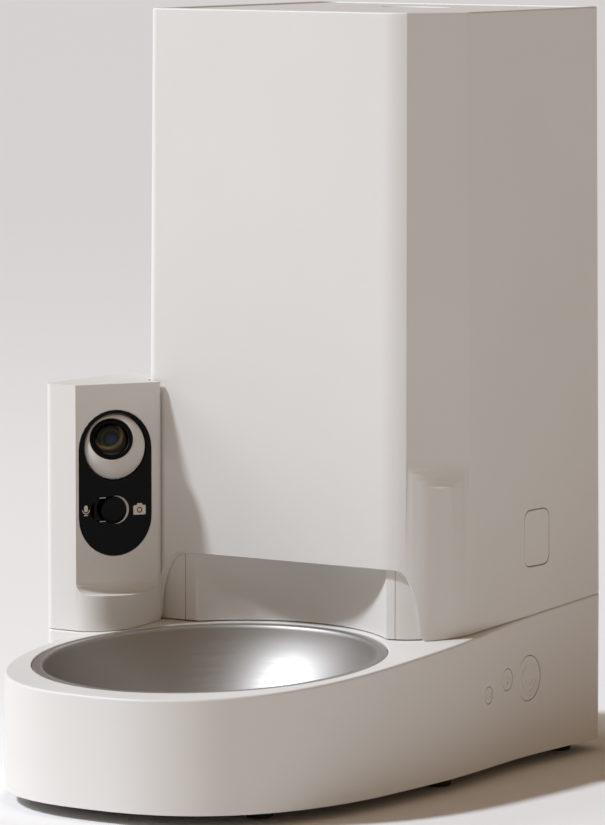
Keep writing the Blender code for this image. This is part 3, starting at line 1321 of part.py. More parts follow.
TANK_LOW = HOUSING_TOP + CLEAR
TANK_TOP = LEDGE_LOW - CLEAR
tank = solid(skin([
    mouth_ring(HOUSING_RADIUS + WALL, TANK_LOW),
    tank_ring(TANK_INSET, FUNNEL_TOP),
    tank_ring(TANK_INSET, TANK_TOP),
    tank_ring(TANK_INSET + TANK_WALL, TANK_TOP),
    tank_ring(TANK_INSET + TANK_WALL, FUNNEL_TOP),
    mouth_ring(HOUSING_RADIUS, TANK_LOW),
], closed=True))
flange_high = TANK_TOP - TANK_FLANGE_DROP
flange_low = flange_high - TANK_FLANGE_THICK
flange = solid(skin([tank_ring(WALL + CLEAR, flange_low), tank_ring(WALL + CLEAR, flange_high)]))
cut(
    flange,
    skin([
        tank_ring(TANK_INSET + TANK_WALL / 2, flange_low - OVERRUN),
        tank_ring(TANK_INSET + TANK_WALL / 2, flange_high + OVERRUN),
    ]),
    facet_tool(WALL + CLEAR),
)
join(tank, taken(flange))
piece("hopper_tank", tank, "clear_tank")

# Lid: plate in the rim of the body, finger dimple, skirt with a seal, desiccant box below
lid = solid(prism(body_outline(BODY_DRAFT + LID_RIM + LID_GAP), LID_BOTTOM, BODY_TOP - LID_SINK))
dimple = bmesh.new()
bmesh.ops.create_uvsphere(dimple, u_segments=ROUND, v_segments=SMALL, radius=1)
dimple.transform(
    Matrix.Translation((0, DIMPLE_Y, BODY_TOP - LID_SINK))
    @ Matrix.Diagonal((DIMPLE_LENGTH / 2, DIMPLE_WIDTH / 2, DIMPLE_DEPTH, 1))
)
skirt = solid(prism(body_outline(BODY_DRAFT + SKIRT_INSET), LID_BOTTOM - SKIRT_DEPTH, LID_BOTTOM + LID_THICK / 2))
cut(skirt, prism(body_outline(BODY_DRAFT + SKIRT_INSET + SKIRT_WALL), LID_BOTTOM - 2 * SKIRT_DEPTH, ABOVE))
cut(lid, facet_tool(WALL + LID_GAP))
join(lid, taken(skirt))
cut(lid, dimple)
piece("hopper_lid", lid, "white_abs")
seal_high = TANK_TOP - CLEAR
seal = solid(prism(body_outline(BODY_DRAFT + SEAL_INSET), seal_high - SEAL_HEIGHT, seal_high))
cut(seal, prism(
    body_outline(BODY_DRAFT + SEAL_INSET + SEAL_WALL), seal_high - SEAL_HEIGHT - OVERRUN, ABOVE,
))
piece("lid_seal", seal, "soft_rubber")
box_top = LID_BOTTOM - CLEAR
box_low = box_top - DRY_BOX_DEPTH
dry_box = solid(moved(cup([
    (DRY_BOX_RADIUS, box_top),
    (DRY_BOX_RADIUS, box_low),
    (DRY_BOX_RADIUS - DRY_BOX_WALL, box_low),
    (DRY_BOX_RADIUS - DRY_BOX_WALL, box_top - DRY_BOX_WALL),
], ROUND), Matrix.Translation((0, ROTOR_Y, 0))))
piece("desiccant_box", dry_box, "acetal")
cover_high = box_low - CLEAR
dry_cover = solid(rod(DRY_BOX_RADIUS, cover_high - DRY_COVER_THICK, cover_high, steps=ROUND))
join(
    dry_cover,
    turned([
        (DRY_BOX_RADIUS - DRY_BOX_WALL - CLEAR, cover_high - DRY_COVER_THICK / 2),
        (DRY_BOX_RADIUS - DRY_BOX_WALL - CLEAR, cover_high + DRY_COVER_THICK),
        (DRY_BOX_RADIUS - 2 * DRY_BOX_WALL, cover_high + DRY_COVER_THICK),
        (DRY_BOX_RADIUS - 2 * DRY_BOX_WALL, cover_high - DRY_COVER_THICK / 2),
    ], ROUND),
    box(
        -DRY_BOX_RADIUS / 2, DRY_BOX_RADIUS / 2, -DRY_BOX_WALL / 2, DRY_BOX_WALL / 2,
        cover_high - DRY_COVER_THICK - DRY_GRIP_HEIGHT, cover_high - DRY_COVER_THICK / 2,
    ),
)
for i in range(6):
    angle = pi / 3 * i + pi / 6
    away = DRY_BOX_RADIUS * 0.6
    cut(dry_cover, rod(DRY_VENT_RADIUS, 0, BODY_TOP, (away * cos(angle), away * sin(angle)), SMALL // 2))
dry_cover.data.transform(Matrix.Translation((0, ROTOR_Y, 0)))
piece("desiccant_cover", dry_cover, "acetal", (0, ROTOR_Y, cover_high))
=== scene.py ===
import json
import math

import bmesh
import bpy
from mathutils import Matrix, Vector


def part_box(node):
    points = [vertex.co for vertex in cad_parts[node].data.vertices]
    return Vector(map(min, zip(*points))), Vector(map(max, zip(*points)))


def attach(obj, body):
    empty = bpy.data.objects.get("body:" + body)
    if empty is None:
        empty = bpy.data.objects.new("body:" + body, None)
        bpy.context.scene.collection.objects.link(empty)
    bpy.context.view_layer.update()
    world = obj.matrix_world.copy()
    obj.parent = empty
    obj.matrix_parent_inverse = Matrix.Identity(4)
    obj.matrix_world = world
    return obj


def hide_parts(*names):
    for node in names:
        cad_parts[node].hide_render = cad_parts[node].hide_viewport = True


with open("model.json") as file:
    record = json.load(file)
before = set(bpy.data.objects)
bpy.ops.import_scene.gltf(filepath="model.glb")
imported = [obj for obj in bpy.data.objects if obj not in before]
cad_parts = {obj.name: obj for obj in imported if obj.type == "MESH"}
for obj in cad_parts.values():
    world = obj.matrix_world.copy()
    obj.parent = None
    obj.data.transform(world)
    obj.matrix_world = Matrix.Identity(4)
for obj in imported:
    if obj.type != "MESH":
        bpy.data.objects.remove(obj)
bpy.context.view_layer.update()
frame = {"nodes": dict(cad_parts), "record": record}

# Studio: camera at the photograph's angle, a pale floor and soft light
# The key light is cool white and comes from the front left, so the front reads bright.
# A large soft window on the left lights the left edges and the right wall of the bowl.
# The room is warm and dim, so the right side stands in warm shade.
CAMERA_PLACE = Vector((1.54680, -2.21295, 0.4493))
CAMERA_AIM = Vector((-0.5644, 0.8194, -0.1005))
LENS_MM = 244.4
FLOOR_SIZE = 80.0
SUN_TURN = -46
SUN_HEIGHT = 48
SUN_STRENGTH = 2.5
SUN_SOFTNESS = 6
ROOM_STRENGTH = 0.21
WINDOW_PLACE = Vector((-1.91, -0.62, 1.31))
WINDOW_SIZE = 0.9
WINDOW_POWER = 13


def linear(hex_colour):
    """A linear colour from an sRGB hex colour."""
    parts = [int(hex_colour[i:i + 2], 16) / 255 for i in (0, 2, 4)]
    return [p / 12.92 if p <= 0.04045 else ((p + 0.055) / 1.055) ** 2.4 for p in parts] + [1.0]


def add(tree, kind, settings=None, links=None):
    """A node of this kind with its settings, values by input, and links into it."""
    made = tree.nodes.new(kind)
    for key, value in (settings or {}).items():
        if isinstance(key, str) and hasattr(made, key):
            setattr(made, key, value)
        else:
            made.inputs[key].default_value = value
    for key, socket in (links or {}).items():
        tree.links.new(socket, made.inputs[key])
    return made


def new_finish(name, hex_colour, roughness, sockets=None):
    """A material whose constant values sit on the shader's own sockets."""
    made = bpy.data.materials.new(name)
    made.use_nodes = True
    shader = made.node_tree.nodes["Principled BSDF"]
    shader.inputs["Base Color"].default_value = linear(hex_colour)
    shader.inputs["Roughness"].default_value = roughness
    for socket, value in (sockets or {}).items():
        shader.inputs[socket].default_value = value
    return made, made.node_tree, shader


camera_data = bpy.data.cameras.new("studio_camera")
camera_data.lens = LENS_MM
camera_data.clip_start = 0.05
camera_data.clip_end = 200
camera = bpy.data.objects.new("studio_camera", camera_data)
camera.location = CAMERA_PLACE
camera.rotation_euler = CAMERA_AIM.to_track_quat("-Z", "Y").to_euler()
bpy.context.collection.objects.link(camera)
bpy.context.scene.camera = camera
bpy.context.scene.view_settings.view_transform = "Standard"

sun = bpy.data.lights.new("key_light", "SUN")
sun.energy = SUN_STRENGTH
sun.angle = math.radians(SUN_SOFTNESS)
sun.color = linear("EEF5FF")[:3]
key_light = bpy.data.objects.new("key_light", sun)
turn, height = math.radians(SUN_TURN), math.radians(SUN_HEIGHT)
away = Vector((math.sin(turn) * math.cos(height), -math.cos(turn) * math.cos(height), math.sin(height)))
key_light.rotation_euler = away.to_track_quat("Z", "Y").to_euler()
key_light.location = away * 3
bpy.context.collection.objects.link(key_light)

window_light = bpy.data.lights.new("side_window", "AREA")
window_light.size = WINDOW_SIZE
window_light.energy = WINDOW_POWER
window_light.color = linear("F4F7FF")[:3]
side_window = bpy.data.objects.new("side_window", window_light)
side_window.location = WINDOW_PLACE
side_window.rotation_euler = (WINDOW_PLACE - Vector((0, 0, 0.15))).to_track_quat("Z", "Y").to_euler()
bpy.context.collection.objects.link(side_window)

room = bpy.data.worlds.new("studio_room")
room.use_nodes = True
backdrop = room.node_tree.nodes["Background"]
backdrop.inputs["Color"].default_value = linear("FFDDBB")
backdrop.inputs["Strength"].default_value = ROOM_STRENGTH
bpy.context.scene.world = room

bpy.ops.object.select_all(action="DESELECT")
bpy.ops.mesh.primitive_plane_add(size=FLOOR_SIZE, location=(0, 0, 0))
floor = bpy.context.object
floor.name = "studio_floor"
paper, tree, shader = new_finish("seamless_paper", "FCFBFA", 0.9)
where = add(tree, "ShaderNodeTexCoord")
fibre = add(tree, "ShaderNodeTexNoise", {"Scale": 3.0, "Detail": 2.0}, {"Vector": where.outputs["Object"]})
dull = add(tree, "ShaderNodeMapRange", {"To Min": 0.86, "To Max": 0.94}, {"Value": fibre.outputs["Fac"]})
tree.links.new(dull.outputs["Result"], shader.inputs["Roughness"])
floor.data.materials.append(paper)

# Base housing: one moulded shell of warm white ABS, open below
# The deck rises to the rear and has a flared recess for the bowl; the outer rim of the
# deck is rounded, and the recess and the mouths of the holes have small radii.
MM = 0.001
AXIS_X = 0.0115
AXIS_Y = -0.06175
DECK_Z = 0.0656
DECK_TILT = math.radians(3.65)
RECESS_RADIUS = 0.0866
MERGE = 0.00001


def deck_at(y):
    """Height of the sloped deck at this depth."""
    return DECK_Z + (y - AXIS_Y) * math.tan(DECK_TILT)


def from_axis(spot):
    """Distance of a place from the bowl's upright axis."""
    return math.hypot(spot.x - AXIS_X, spot.y - AXIS_Y)


def edit(piece):
    """Selects this piece alone and opens it in edit mode."""
    if bpy.context.object and bpy.context.object.mode != "OBJECT":
        bpy.ops.object.mode_set(mode="OBJECT")
    bpy.ops.object.select_all(action="DESELECT")
    piece.select_set(True)
    bpy.context.view_layer.objects.active = piece
    bpy.ops.object.mode_set(mode="EDIT")


def start_from_node(node, name):
    """A new piece that starts as the node's solid, its loose triangles merged into whole faces."""
    piece = bpy.data.objects.new(name, frame["nodes"][node].data.copy())
    bpy.context.collection.objects.link(piece)
    edit(piece)
    bpy.ops.mesh.select_all(action="SELECT")
    bpy.ops.mesh.customdata_custom_splitnormals_clear()
    bpy.ops.mesh.remove_doubles(threshold=MERGE)
    bpy.ops.mesh.dissolve_limited(angle_limit=math.radians(0.6))
    bpy.ops.object.mode_set(mode="OBJECT")
    return piece


def round_edges(piece, width, segments, wanted):
    """Bevels the edges for which wanted(middle, direction, angle in degrees) is true."""
    edit(piece)
    bpy.ops.mesh.select_mode(type="EDGE")
    bpy.ops.mesh.select_all(action="DESELECT")
    mesh = bmesh.from_edit_mesh(piece.data)
    for edge in mesh.edges:
        if len(edge.link_faces) == 2:
            start, end = (v.co for v in edge.verts)
            angle = math.degrees(edge.calc_face_angle(0))
            edge.select_set(bool(wanted((start + end) / 2, (end - start).normalized(), angle)))
    bmesh.update_edit_mesh(piece.data)
    bpy.ops.mesh.bevel(offset=width, segments=segments, affect="EDGES", clamp_overlap=True)
    bpy.ops.object.mode_set(mode="OBJECT")


def smooth(piece, angle=38):
    """Smooth shading with edges kept above the angle, and normals that keep flat faces flat."""
    edit(piece)
    bpy.ops.object.mode_set(mode="OBJECT")
    bpy.ops.object.shade_smooth_by_angle(angle=math.radians(angle))
    flat = piece.modifiers.new("flat_faces", "WEIGHTED_NORMAL")
    flat.keep_sharp = True
    bpy.ops.object.modifier_apply(modifier="flat_faces")


def hand_over(piece, body, material, nodes=()):
    """Gives the piece its material, its body and the nodes that it stands for."""
    piece.data.materials.clear()
    piece.data.materials.append(material)
    piece.data.name = piece.name
    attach(piece, body)
    if nodes:
        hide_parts(*nodes)


def moulded(name, hex_light, hex_dark, roughness, grain_mm, depth_mm, sockets=None):
    """Moulded plastic: the mould's grain as relief and sheen, and a faint cloud in the colour."""
    made, tree, shader = new_finish(name, hex_light, roughness, sockets)
    where = add(tree, "ShaderNodeTexCoord")
    cloud = add(
        tree, "ShaderNodeTexNoise", {"Scale": 12.0, "Detail": 3.0}, {"Vector": where.outputs["Object"]},
    )
    tone = add(tree, "ShaderNodeMix", {"data_type": "RGBA"}, {0: cloud.outputs["Fac"]})
    tone.inputs[6].default_value = linear(hex_dark)
    tone.inputs[7].default_value = linear(hex_light)
    tree.links.new(tone.outputs[2], shader.inputs["Base Color"])
    grain = add(
        tree, "ShaderNodeTexNoise", {"Scale": 1 / (grain_mm * MM), "Detail": 2.0, "Roughness": 0.6},
        {"Vector": where.outputs["Object"]},
    )
    sheen = add(
        tree, "ShaderNodeMapRange",
        {"From Min": 0.3, "From Max": 0.7, "To Min": roughness * 0.88, "To Max": min(1.0, roughness * 1.14)},
        {"Value": grain.outputs["Fac"]},
    )
    tree.links.new(sheen.outputs["Result"], shader.inputs["Roughness"])
    relief = add(
        tree, "ShaderNodeBump", {"Strength": 0.4, "Distance": depth_mm * MM}, {"Height": grain.outputs["Fac"]},
    )
    tree.links.new(relief.outputs["Normal"], shader.inputs["Normal"])
    return made


# White ABS with a fine spark-eroded grain: satin, never quite even in tone
# The real grain is about 0.1 mm; it is drawn at 0.55 mm so that it shows at this size.
white_abs = moulded("white_abs_grained", "EEECE8", "E9E6E1", 0.48, 0.55, 0.05, {"IOR": 1.53})

base = start_from_node("base_shell", "base_housing")
round_edges(base, 2.0 * MM, 5, lambda m, d, a: (
    a > 60 and abs(m.z - deck_at(m.y)) < 0.3 * MM and from_axis(m) > RECESS_RADIUS
))
round_edges(base, 1.0 * MM, 3, lambda m, d, a: a > 60 and m.z < 6.1 * MM and abs(d.z) < 0.1)
round_edges(base, 0.25 * MM, 2, lambda m, d, a: (
    20 < a < 80 and 84.9 * MM < from_axis(m) < RECESS_RADIUS and abs(m.z - deck_at(m.y)) < 1.0 * MM
))
round_edges(base, 0.25 * MM, 2, lambda m, d, a: (
    a > 70 and m.x > 92 * MM and 32 * MM < m.z < 60 * MM and 35 * MM < m.y < 98 * MM
))
smooth(base)
hand_over(base, "base", white_abs, ["base_shell"])

# Rubber feet: six turned plugs of dark rubber pressed into the bottom cover
# Each has a rounded edge below and a shallow cup that grips the table.
FOOT_PROFILE = (
    (0.0, 5.7), (6.6, 5.7), (7.0, 5.3), (6.7, 2.4), (6.35, 0.8), (6.0, 0.25), (5.3, 0.0), (4.6, 0.1),
    (4.3, 0.5), (4.1, 0.9), (0.0, 0.9),
)
FOOT_STEPS = 48


def turned_piece(name, profile, steps, place):
    """A profile in millimetres of radius and height, spun round the upright axis and set in place."""
    bpy.ops.object.select_all(action="DESELECT")
    bpy.ops.mesh.primitive_plane_add(size=MM, location=(0, 0, 0))
    piece = bpy.context.object
    piece.name = name
    edit(piece)
    bpy.ops.mesh.select_mode(type="VERT")
    bpy.ops.mesh.select_all(action="SELECT")
    bpy.ops.mesh.merge(type="CENTER")
    bpy.ops.transform.translate(value=(profile[0][0] * MM, 0, profile[0][1] * MM))
    for (from_r, from_z), (to_r, to_z) in zip(profile, profile[1:]):
        step = ((to_r - from_r) * MM, 0, (to_z - from_z) * MM)
        bpy.ops.mesh.extrude_vertices_move(TRANSFORM_OT_translate={"value": step})
    bpy.ops.mesh.select_all(action="SELECT")
    bpy.ops.mesh.remove_doubles(threshold=MERGE / 10)
    bpy.ops.mesh.spin(steps=steps, angle=2 * math.pi, center=(0, 0, 0), axis=(0, 0, 1))
    bpy.ops.mesh.select_all(action="SELECT")
    bpy.ops.mesh.remove_doubles(threshold=MERGE / 2)
    bpy.ops.mesh.normals_make_consistent(inside=False)
    bpy.ops.object.mode_set(mode="OBJECT")
    piece.data.transform(place)
    return piece


def copy_of(piece, name, shift):
    """Another piece with its own copy of the mesh, moved by a shift."""
    another = bpy.data.objects.new(name, piece.data.copy())
    bpy.context.collection.objects.link(another)
    another.data.transform(Matrix.Translation(shift))
    return another


def middle_of(node):
    """Middle of a node's box."""
    low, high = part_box(node)
    return (Vector(low) + Vector(high)) / 2


# Rubber: dull, nearly black, with a soft broad sheen
soft_rubber = moulded("moulded_rubber", "302E2D", "262524", 0.78, 0.6, 0.05, {"IOR": 1.5})
first_foot = middle_of("rubber_foot_1")
foot = turned_piece("foot_1", FOOT_PROFILE, FOOT_STEPS, Matrix.Translation((first_foot.x, first_foot.y, 0)))
feet = [foot]
for number in range(2, 7):
    shift = middle_of(f"rubber_foot_{number}") - first_foot
    feet.append(copy_of(foot, f"foot_{number}", shift))
for number, foot in enumerate(feet, 1):
    smooth(foot)
    hand_over(foot, "base", soft_rubber, [f"rubber_foot_{number}"])

# Cover screws: four zinc-plated pan heads with a cross recess, driven up into the base's posts
# The recess is two crossed slots cut into the domed head.
HEAD_PROFILE = (
    (0.0, 0.0), (1.4, 0.06), (2.3, 0.28), (2.8, 0.66), (3.0, 1.1), (3.0, 1.4), (1.3, 1.4),
    (1.3, 8.5), (0.9, 9.0), (0.0, 9.0),
)


def carve(piece, cutter):
    """Cuts the cutter out of the piece and throws the cutter away."""
    edit(piece)
    bpy.ops.object.mode_set(mode="OBJECT")
    cut = piece.modifiers.new("cut", "BOOLEAN")
    cut.operation = "DIFFERENCE"
    cut.solver = "EXACT"
    cut.object = cutter
    bpy.ops.object.modifier_apply(modifier="cut")
    data = cutter.data
    bpy.data.objects.remove(cutter, do_unlink=True)
    bpy.data.meshes.remove(data)


def block(name, size, middle, rounding=0.0, segments=2):
    """A block of this size in millimetres at this place, its edges rounded."""
    bpy.ops.object.select_all(action="DESELECT")
    bpy.ops.mesh.primitive_cube_add(size=1, location=(0, 0, 0))
    piece = bpy.context.object
    piece.name = name
    piece.data.transform(Matrix.Translation(middle) @ Matrix.Diagonal((*[side * MM for side in size], 1)))
    if rounding:
        round_edges(piece, rounding * MM, segments, lambda m, d, a: True)
    return piece


# Zinc plating on steel: bright, slightly cloudy metal
plated_steel = moulded("zinc_plated_steel", "C4C3C0", "B4B3B1", 0.32, 1.0, 0.01, {"Metallic": 1.0})
SCREW_HEIGHT = 6 * MM
first_screw = middle_of("cover_screw_1")
screw_foot = Vector((first_screw.x, first_screw.y, SCREW_HEIGHT))
screw = turned_piece("screw_1", HEAD_PROFILE, 32, Matrix.Translation(screw_foot))
for size in ((3.4, 0.6, 2.0), (0.6, 3.4, 2.0)):
    carve(screw, block("driver_slot", size, screw_foot))
screws = [screw]
for number in range(2, 5):
    screws.append(copy_of(screw, f"screw_{number}", middle_of(f"cover_screw_{number}") - first_screw))
for number, screw in enumerate(screws, 1):
    smooth(screw, 30)
    hand_over(screw, "base", plated_steel, [f"cover_screw_{number}"])

# Bowl: pressed stainless steel, spun smooth, with a flat flange that lies in the deck
# The flange's edge is rolled under and its inner bend is a bright bead; the spinning leaves
# fine rings that stretch the highlights round the bowl.
BOWL_STEPS = 160
BOWL_PROFILE = (
    (0.0, -37.3), (40.0, -37.3), (50.0, -37.0), (54.0, -36.1), (57.5, -34.5), (62.0, -30.8),
    (68.0, -23.6), (73.6, -15.2), (77.0, -8.4), (78.8, -4.0), (79.3, -2.2), (79.8, -1.1),
    (80.4, -0.5), (81.1, -0.35), (83.6, -0.45), (84.4, -0.65), (84.75, -1.0), (84.8, -1.4),
    (84.5, -1.85), (83.9, -2.0), (81.4, -1.7), (80.7, -2.0), (80.1, -3.2), (79.2, -6.6),
    (77.4, -10.8), (74.6, -16.6), (69.0, -25.0), (63.0, -32.0), (58.4, -35.9), (54.6, -37.6),
    (50.0, -38.3), (40.0, -38.5), (0.0, -38.5),
)
deck_place = Matrix.Translation((AXIS_X, AXIS_Y, DECK_Z)) @ Matrix.Rotation(DECK_TILT, 4, "X")

# Stainless steel, brushed in rings: grey, satin, with lines about 0.4 mm apart
steel, tree, shader = new_finish("stainless_spun", "B3B0AC", 0.49, {"Metallic": 1.0})
where = add(tree, "ShaderNodeTexCoord")
centred = add(
    tree, "ShaderNodeMapping", {"Location": (-AXIS_X, -AXIS_Y, -DECK_Z)}, {"Vector": where.outputs["Object"]},
)
away_from_middle = add(tree, "ShaderNodeVectorMath", {"operation": "LENGTH"}, {0: centred.outputs["Vector"]})
split = add(tree, "ShaderNodeSeparateXYZ", {}, {"Vector": centred.outputs["Vector"]})
round_about = add(
    tree, "ShaderNodeMath", {"operation": "ARCTAN2"}, {0: split.outputs["Y"], 1: split.outputs["X"]},
)
rings = add(
    tree, "ShaderNodeMath", {"operation": "MULTIPLY", 1: 1 / (0.4 * MM)}, {0: away_from_middle.outputs["Value"]},
)
drift = add(tree, "ShaderNodeMath", {"operation": "MULTIPLY", 1: 2.0}, {0: round_about.outputs["Value"]})
lay = add(tree, "ShaderNodeCombineXYZ", {}, {"X": rings.outputs["Value"], "Y": drift.outputs["Value"]})
lines = add(tree, "ShaderNodeTexNoise", {"Scale": 1.0, "Detail": 3.0}, {"Vector": lay.outputs["Vector"]})
gloss = add(
    tree, "ShaderNodeMapRange", {"From Min": 0.25, "From Max": 0.75, "To Min": 0.46, "To Max": 0.53},
    {"Value": lines.outputs["Fac"]},
)
tree.links.new(gloss.outputs["Result"], shader.inputs["Roughness"])
scratches = add(
    tree, "ShaderNodeBump", {"Strength": 0.04, "Distance": 0.01 * MM}, {"Height": lines.outputs["Fac"]},
)
tree.links.new(scratches.outputs["Normal"], shader.inputs["Normal"])
bowl = turned_piece("bowl", BOWL_PROFILE, BOWL_STEPS, deck_place)
smooth(bowl, 50)
hand_over(bowl, "bowl", steel, ["steel_bowl"])

# Base buttons: three round ABS caps in the right wall, each with its symbol engraved
# The feed button has an open ring, the link button waves over a dot, the reset button a ring.
BUTTON_SPOTS = {
    "feed_button": (98.28, 85.25, 44.5, 0.99906, 0.04328),
    "wifi_button": (99.91, 63.25, 46.5, 0.99517, 0.09813),
    "reset_button": (102.09, 43.25, 41.5, 0.99370, 0.11204),
}
ENGRAVING_DEPTH = 0.22


def arc_groove(radius, width, start, sweep, place):
    """A cutter for an engraved arc: a small square profile spun through part of a turn."""
    bpy.ops.object.select_all(action="DESELECT")
    bpy.ops.mesh.primitive_plane_add(size=1, location=(0, 0, 0))
    cutter = bpy.context.object
    turned_up = Matrix.Rotation(math.pi / 2, 4, "X")
    sized = Matrix.Diagonal((width * MM, 2 * ENGRAVING_DEPTH * MM, 1, 1))
    begun = Matrix.Rotation(math.radians(start), 4, "Z") @ Matrix.Translation((radius * MM, 0, 0))
    cutter.data.transform(begun @ turned_up @ sized)
    edit(cutter)
    bpy.ops.mesh.select_all(action="SELECT")
    steps = max(6, int(sweep / 9))
    bpy.ops.mesh.spin(steps=steps, angle=-math.radians(sweep), center=(0, 0, 0), axis=(0, 0, 1), dupli=False)
    bpy.ops.mesh.select_all(action="SELECT")
    if sweep >= 360:
        bpy.ops.mesh.remove_doubles(threshold=MERGE)
    bpy.ops.mesh.select_mode(type="EDGE")
    bpy.ops.mesh.select_all(action="DESELECT")
    bpy.ops.mesh.select_non_manifold()
    if sweep < 360:
        bpy.ops.mesh.edge_face_add()
    bpy.ops.mesh.select_all(action="SELECT")
    bpy.ops.mesh.normals_make_consistent(inside=False)
    bpy.ops.object.mode_set(mode="OBJECT")
    cutter.data.transform(place)
    return cutter


for node, (x, y, z, out_x, out_y) in BUTTON_SPOTS.items():
    out = Vector((out_x, out_y, 0)).normalized()
    up = Vector((0, 0, 1))
    side = up.cross(out)
    place = Matrix((
        (side.x, up.x, out.x, x * MM), (side.y, up.y, out.y, y * MM),
        (side.z, up.z, out.z, z * MM), (0, 0, 0, 1),
    ))
    back = place.inverted()
    button = start_from_node(node, node.replace("_button", "_key"))
    round_edges(button, 0.3 * MM, 3, lambda m, d, a: a > 60 and (back @ m).z > -0.05 * MM)
    if node == "feed_button":
        carve(button, arc_groove(6.6, 0.5, 60, 290, place))
        carve(button, arc_groove(3.4, 0.4, 200, 150, place))
    if node == "wifi_button":
        lowered = place @ Matrix.Translation((0, -1.5 * MM, 0))
        carve(button, arc_groove(3.3, 0.4, 45, 90, lowered))
        carve(button, arc_groove(1.9, 0.4, 45, 90, lowered))
        carve(button, arc_groove(0.35, 0.5, 0, 360, lowered))
    if node == "reset_button":
        carve(button, arc_groove(2.0, 0.4, 120, 300, place))
    smooth(button, 30)
    hand_over(button, node, white_abs, [node])

# Battery door: a flat ABS door in the rear wall, hinged along its lower edge
# Its outer edges are rounded, and five level grooves near its top give a thumb its grip.
door = start_from_node("battery_door", "battery_hatch")
door_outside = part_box("battery_door")[1].y
round_edges(door, 0.4 * MM, 3, lambda m, d, a: a > 60 and m.y > door_outside - 0.05 * MM and m.z > 20 * MM)
GROOVE_COUNT = 5
GROOVE_SIZE = (26, 0.9, 0.9)
LOWEST_GROOVE = 52.5
GROOVE_SPACING = 1.9
for number in range(GROOVE_COUNT):
    groove_height = (LOWEST_GROOVE + GROOVE_SPACING * number) * MM
    carve(door, block("grip_groove", GROOVE_SIZE, Vector((AXIS_X, door_outside, groove_height)), 0.2, 1))
smooth(door)
hand_over(door, "battery_door", white_abs, ["battery_door"])

# Camera tower: ABS column at the left front corner, with a flat panel turned to the bowl
# The panel ends in a scooped hollow above the foot; the top rim is rounded.
PANEL_TURN = math.radians(60)
PANEL_SPOT = Vector((AXIS_X - 0.0869, -0.019495, 0))
PANEL_OUT = Vector((math.sin(PANEL_TURN), -math.cos(PANEL_TURN), 0))
PANEL_SIDE = Vector((math.cos(PANEL_TURN), math.sin(PANEL_TURN), 0))


def on_panel(along, z):
    """Frame on the panel: X along it to the rear, Y up, Z out of it; millimetres."""
    spot = PANEL_SPOT + PANEL_SIDE * along * MM
    return Matrix((
        (PANEL_SIDE.x, 0, PANEL_OUT.x, spot.x), (PANEL_SIDE.y, 0, PANEL_OUT.y, spot.y),
        (0, 1, 0, z * MM), (0, 0, 0, 1),
    ))


tower = start_from_node("tower_shell", "tower_casing")
round_edges(tower, 1.3 * MM, 4, lambda m, d, a: a > 50 and m.z > 187.5 * MM)
panel_back = on_panel(0, 0).inverted()
round_edges(tower, 0.5 * MM, 3, lambda m, d, a: (
    15 < a < 80 and abs((panel_back @ m).z) < 0.1 * MM and abs((panel_back @ m).x) > 19.6 * MM and m.z > 90 * MM
))
smooth(tower)
hand_over(tower, "base", white_abs, ["tower_shell"])

# Camera window: a gloss black plate with round ends, set flush in the panel
# It has the round hole for the ball and the slot for the slide switch.
# Black gloss plastic: polished mould, hardly any grain, sharp reflections
black_gloss = moulded(
    "black_polished_plastic", "060404", "050303", 0.14, 3.0, 0.002, {"IOR": 1.45, "Specular IOR Level": 0.12},
)
window = start_from_node("camera_window", "black_plate")
round_edges(window, 0.25 * MM, 2, lambda m, d, a: a > 60 and abs((panel_back @ m).z) < 0.1 * MM)
smooth(window)
hand_over(window, "base", black_gloss, ["camera_window"])

# Slide switch: a round black cap on a slightly larger light grey slider, set off its middle
# The light grey slider shows as a crescent at the right, a painted highlight along the switch's right edge; its neck
# goes through the slot to a keeper plate.
CAP_PROFILE = (
    (0.0, 1.0), (5.3, 1.0), (5.9, 1.1), (6.3, 1.2), (6.55, 1.14), (6.75, 0.96), (6.8, 0.74), (0.0, 0.74),
)
SLIDER_PROFILE = (
    (0.0, 0.72), (6.45, 0.72), (6.75, 0.64), (6.9, 0.48), (6.9, 0.3), (5.0, 0.3), (5.0, -0.3), (0.0, -0.3),
)
CAP_SHIFT = -0.5
SLIDER_SHIFT = 0.8
SWITCH_HEIGHT = 126
switch_place = on_panel(-0.7, SWITCH_HEIGHT)
cap_place = switch_place @ Matrix.Translation((CAP_SHIFT * MM, 0, 0))
cap = turned_piece("switch_cap", CAP_PROFILE, 64, cap_place)
smooth(cap, 35)
hand_over(cap, "mode_switch", black_gloss, ["mode_switch"])
# Grey slider: satin acetal, its light grey a painted highlight that shows as a crescent against the plate
painted_crescent_highlight_grey = moulded("painted_crescent_highlight_grey", "C9C4BC", "BFBAB2", 0.35, 0.8, 0.01, {"IOR": 1.48})
slider_place = switch_place @ Matrix.Translation((SLIDER_SHIFT * MM, 0, 0))
slider = turned_piece("switch_slider", SLIDER_PROFILE, 64, slider_place)
smooth(slider, 35)
hand_over(slider, "mode_switch", painted_crescent_highlight_grey)
keeper = block("switch_keeper", (19.8, 14.8, 1.1), Vector((0, 0, -2.4 * MM)), 0.4, 2)
neck = block("switch_neck", (9.6, 9.6, 1.4), Vector((0, 0, -1.1 * MM)), 0.4, 2)
bpy.ops.object.select_all(action="DESELECT")
neck.select_set(True)
keeper.select_set(True)
bpy.context.view_layer.objects.active = keeper
bpy.ops.object.join()
keeper.data.transform(switch_place)
smooth(keeper, 35)
hand_over(keeper, "mode_switch", black_gloss)

# Printed symbols beside the switch: a microphone and a camera in grey ink, and two light dashes on the slot that are
# painted highlights of its edges
# The ink is a film 0.05 mm proud of the window; the camera's lens is left open as a ring.
INK = 0.05
# Screen-printed ink: matt, light warm grey, slightly uneven at its edges
print_ink = moulded("screen_ink", "EDE3D8", "E2D7CA", 0.62, 0.3, 0.004, {"IOR": 1.5})


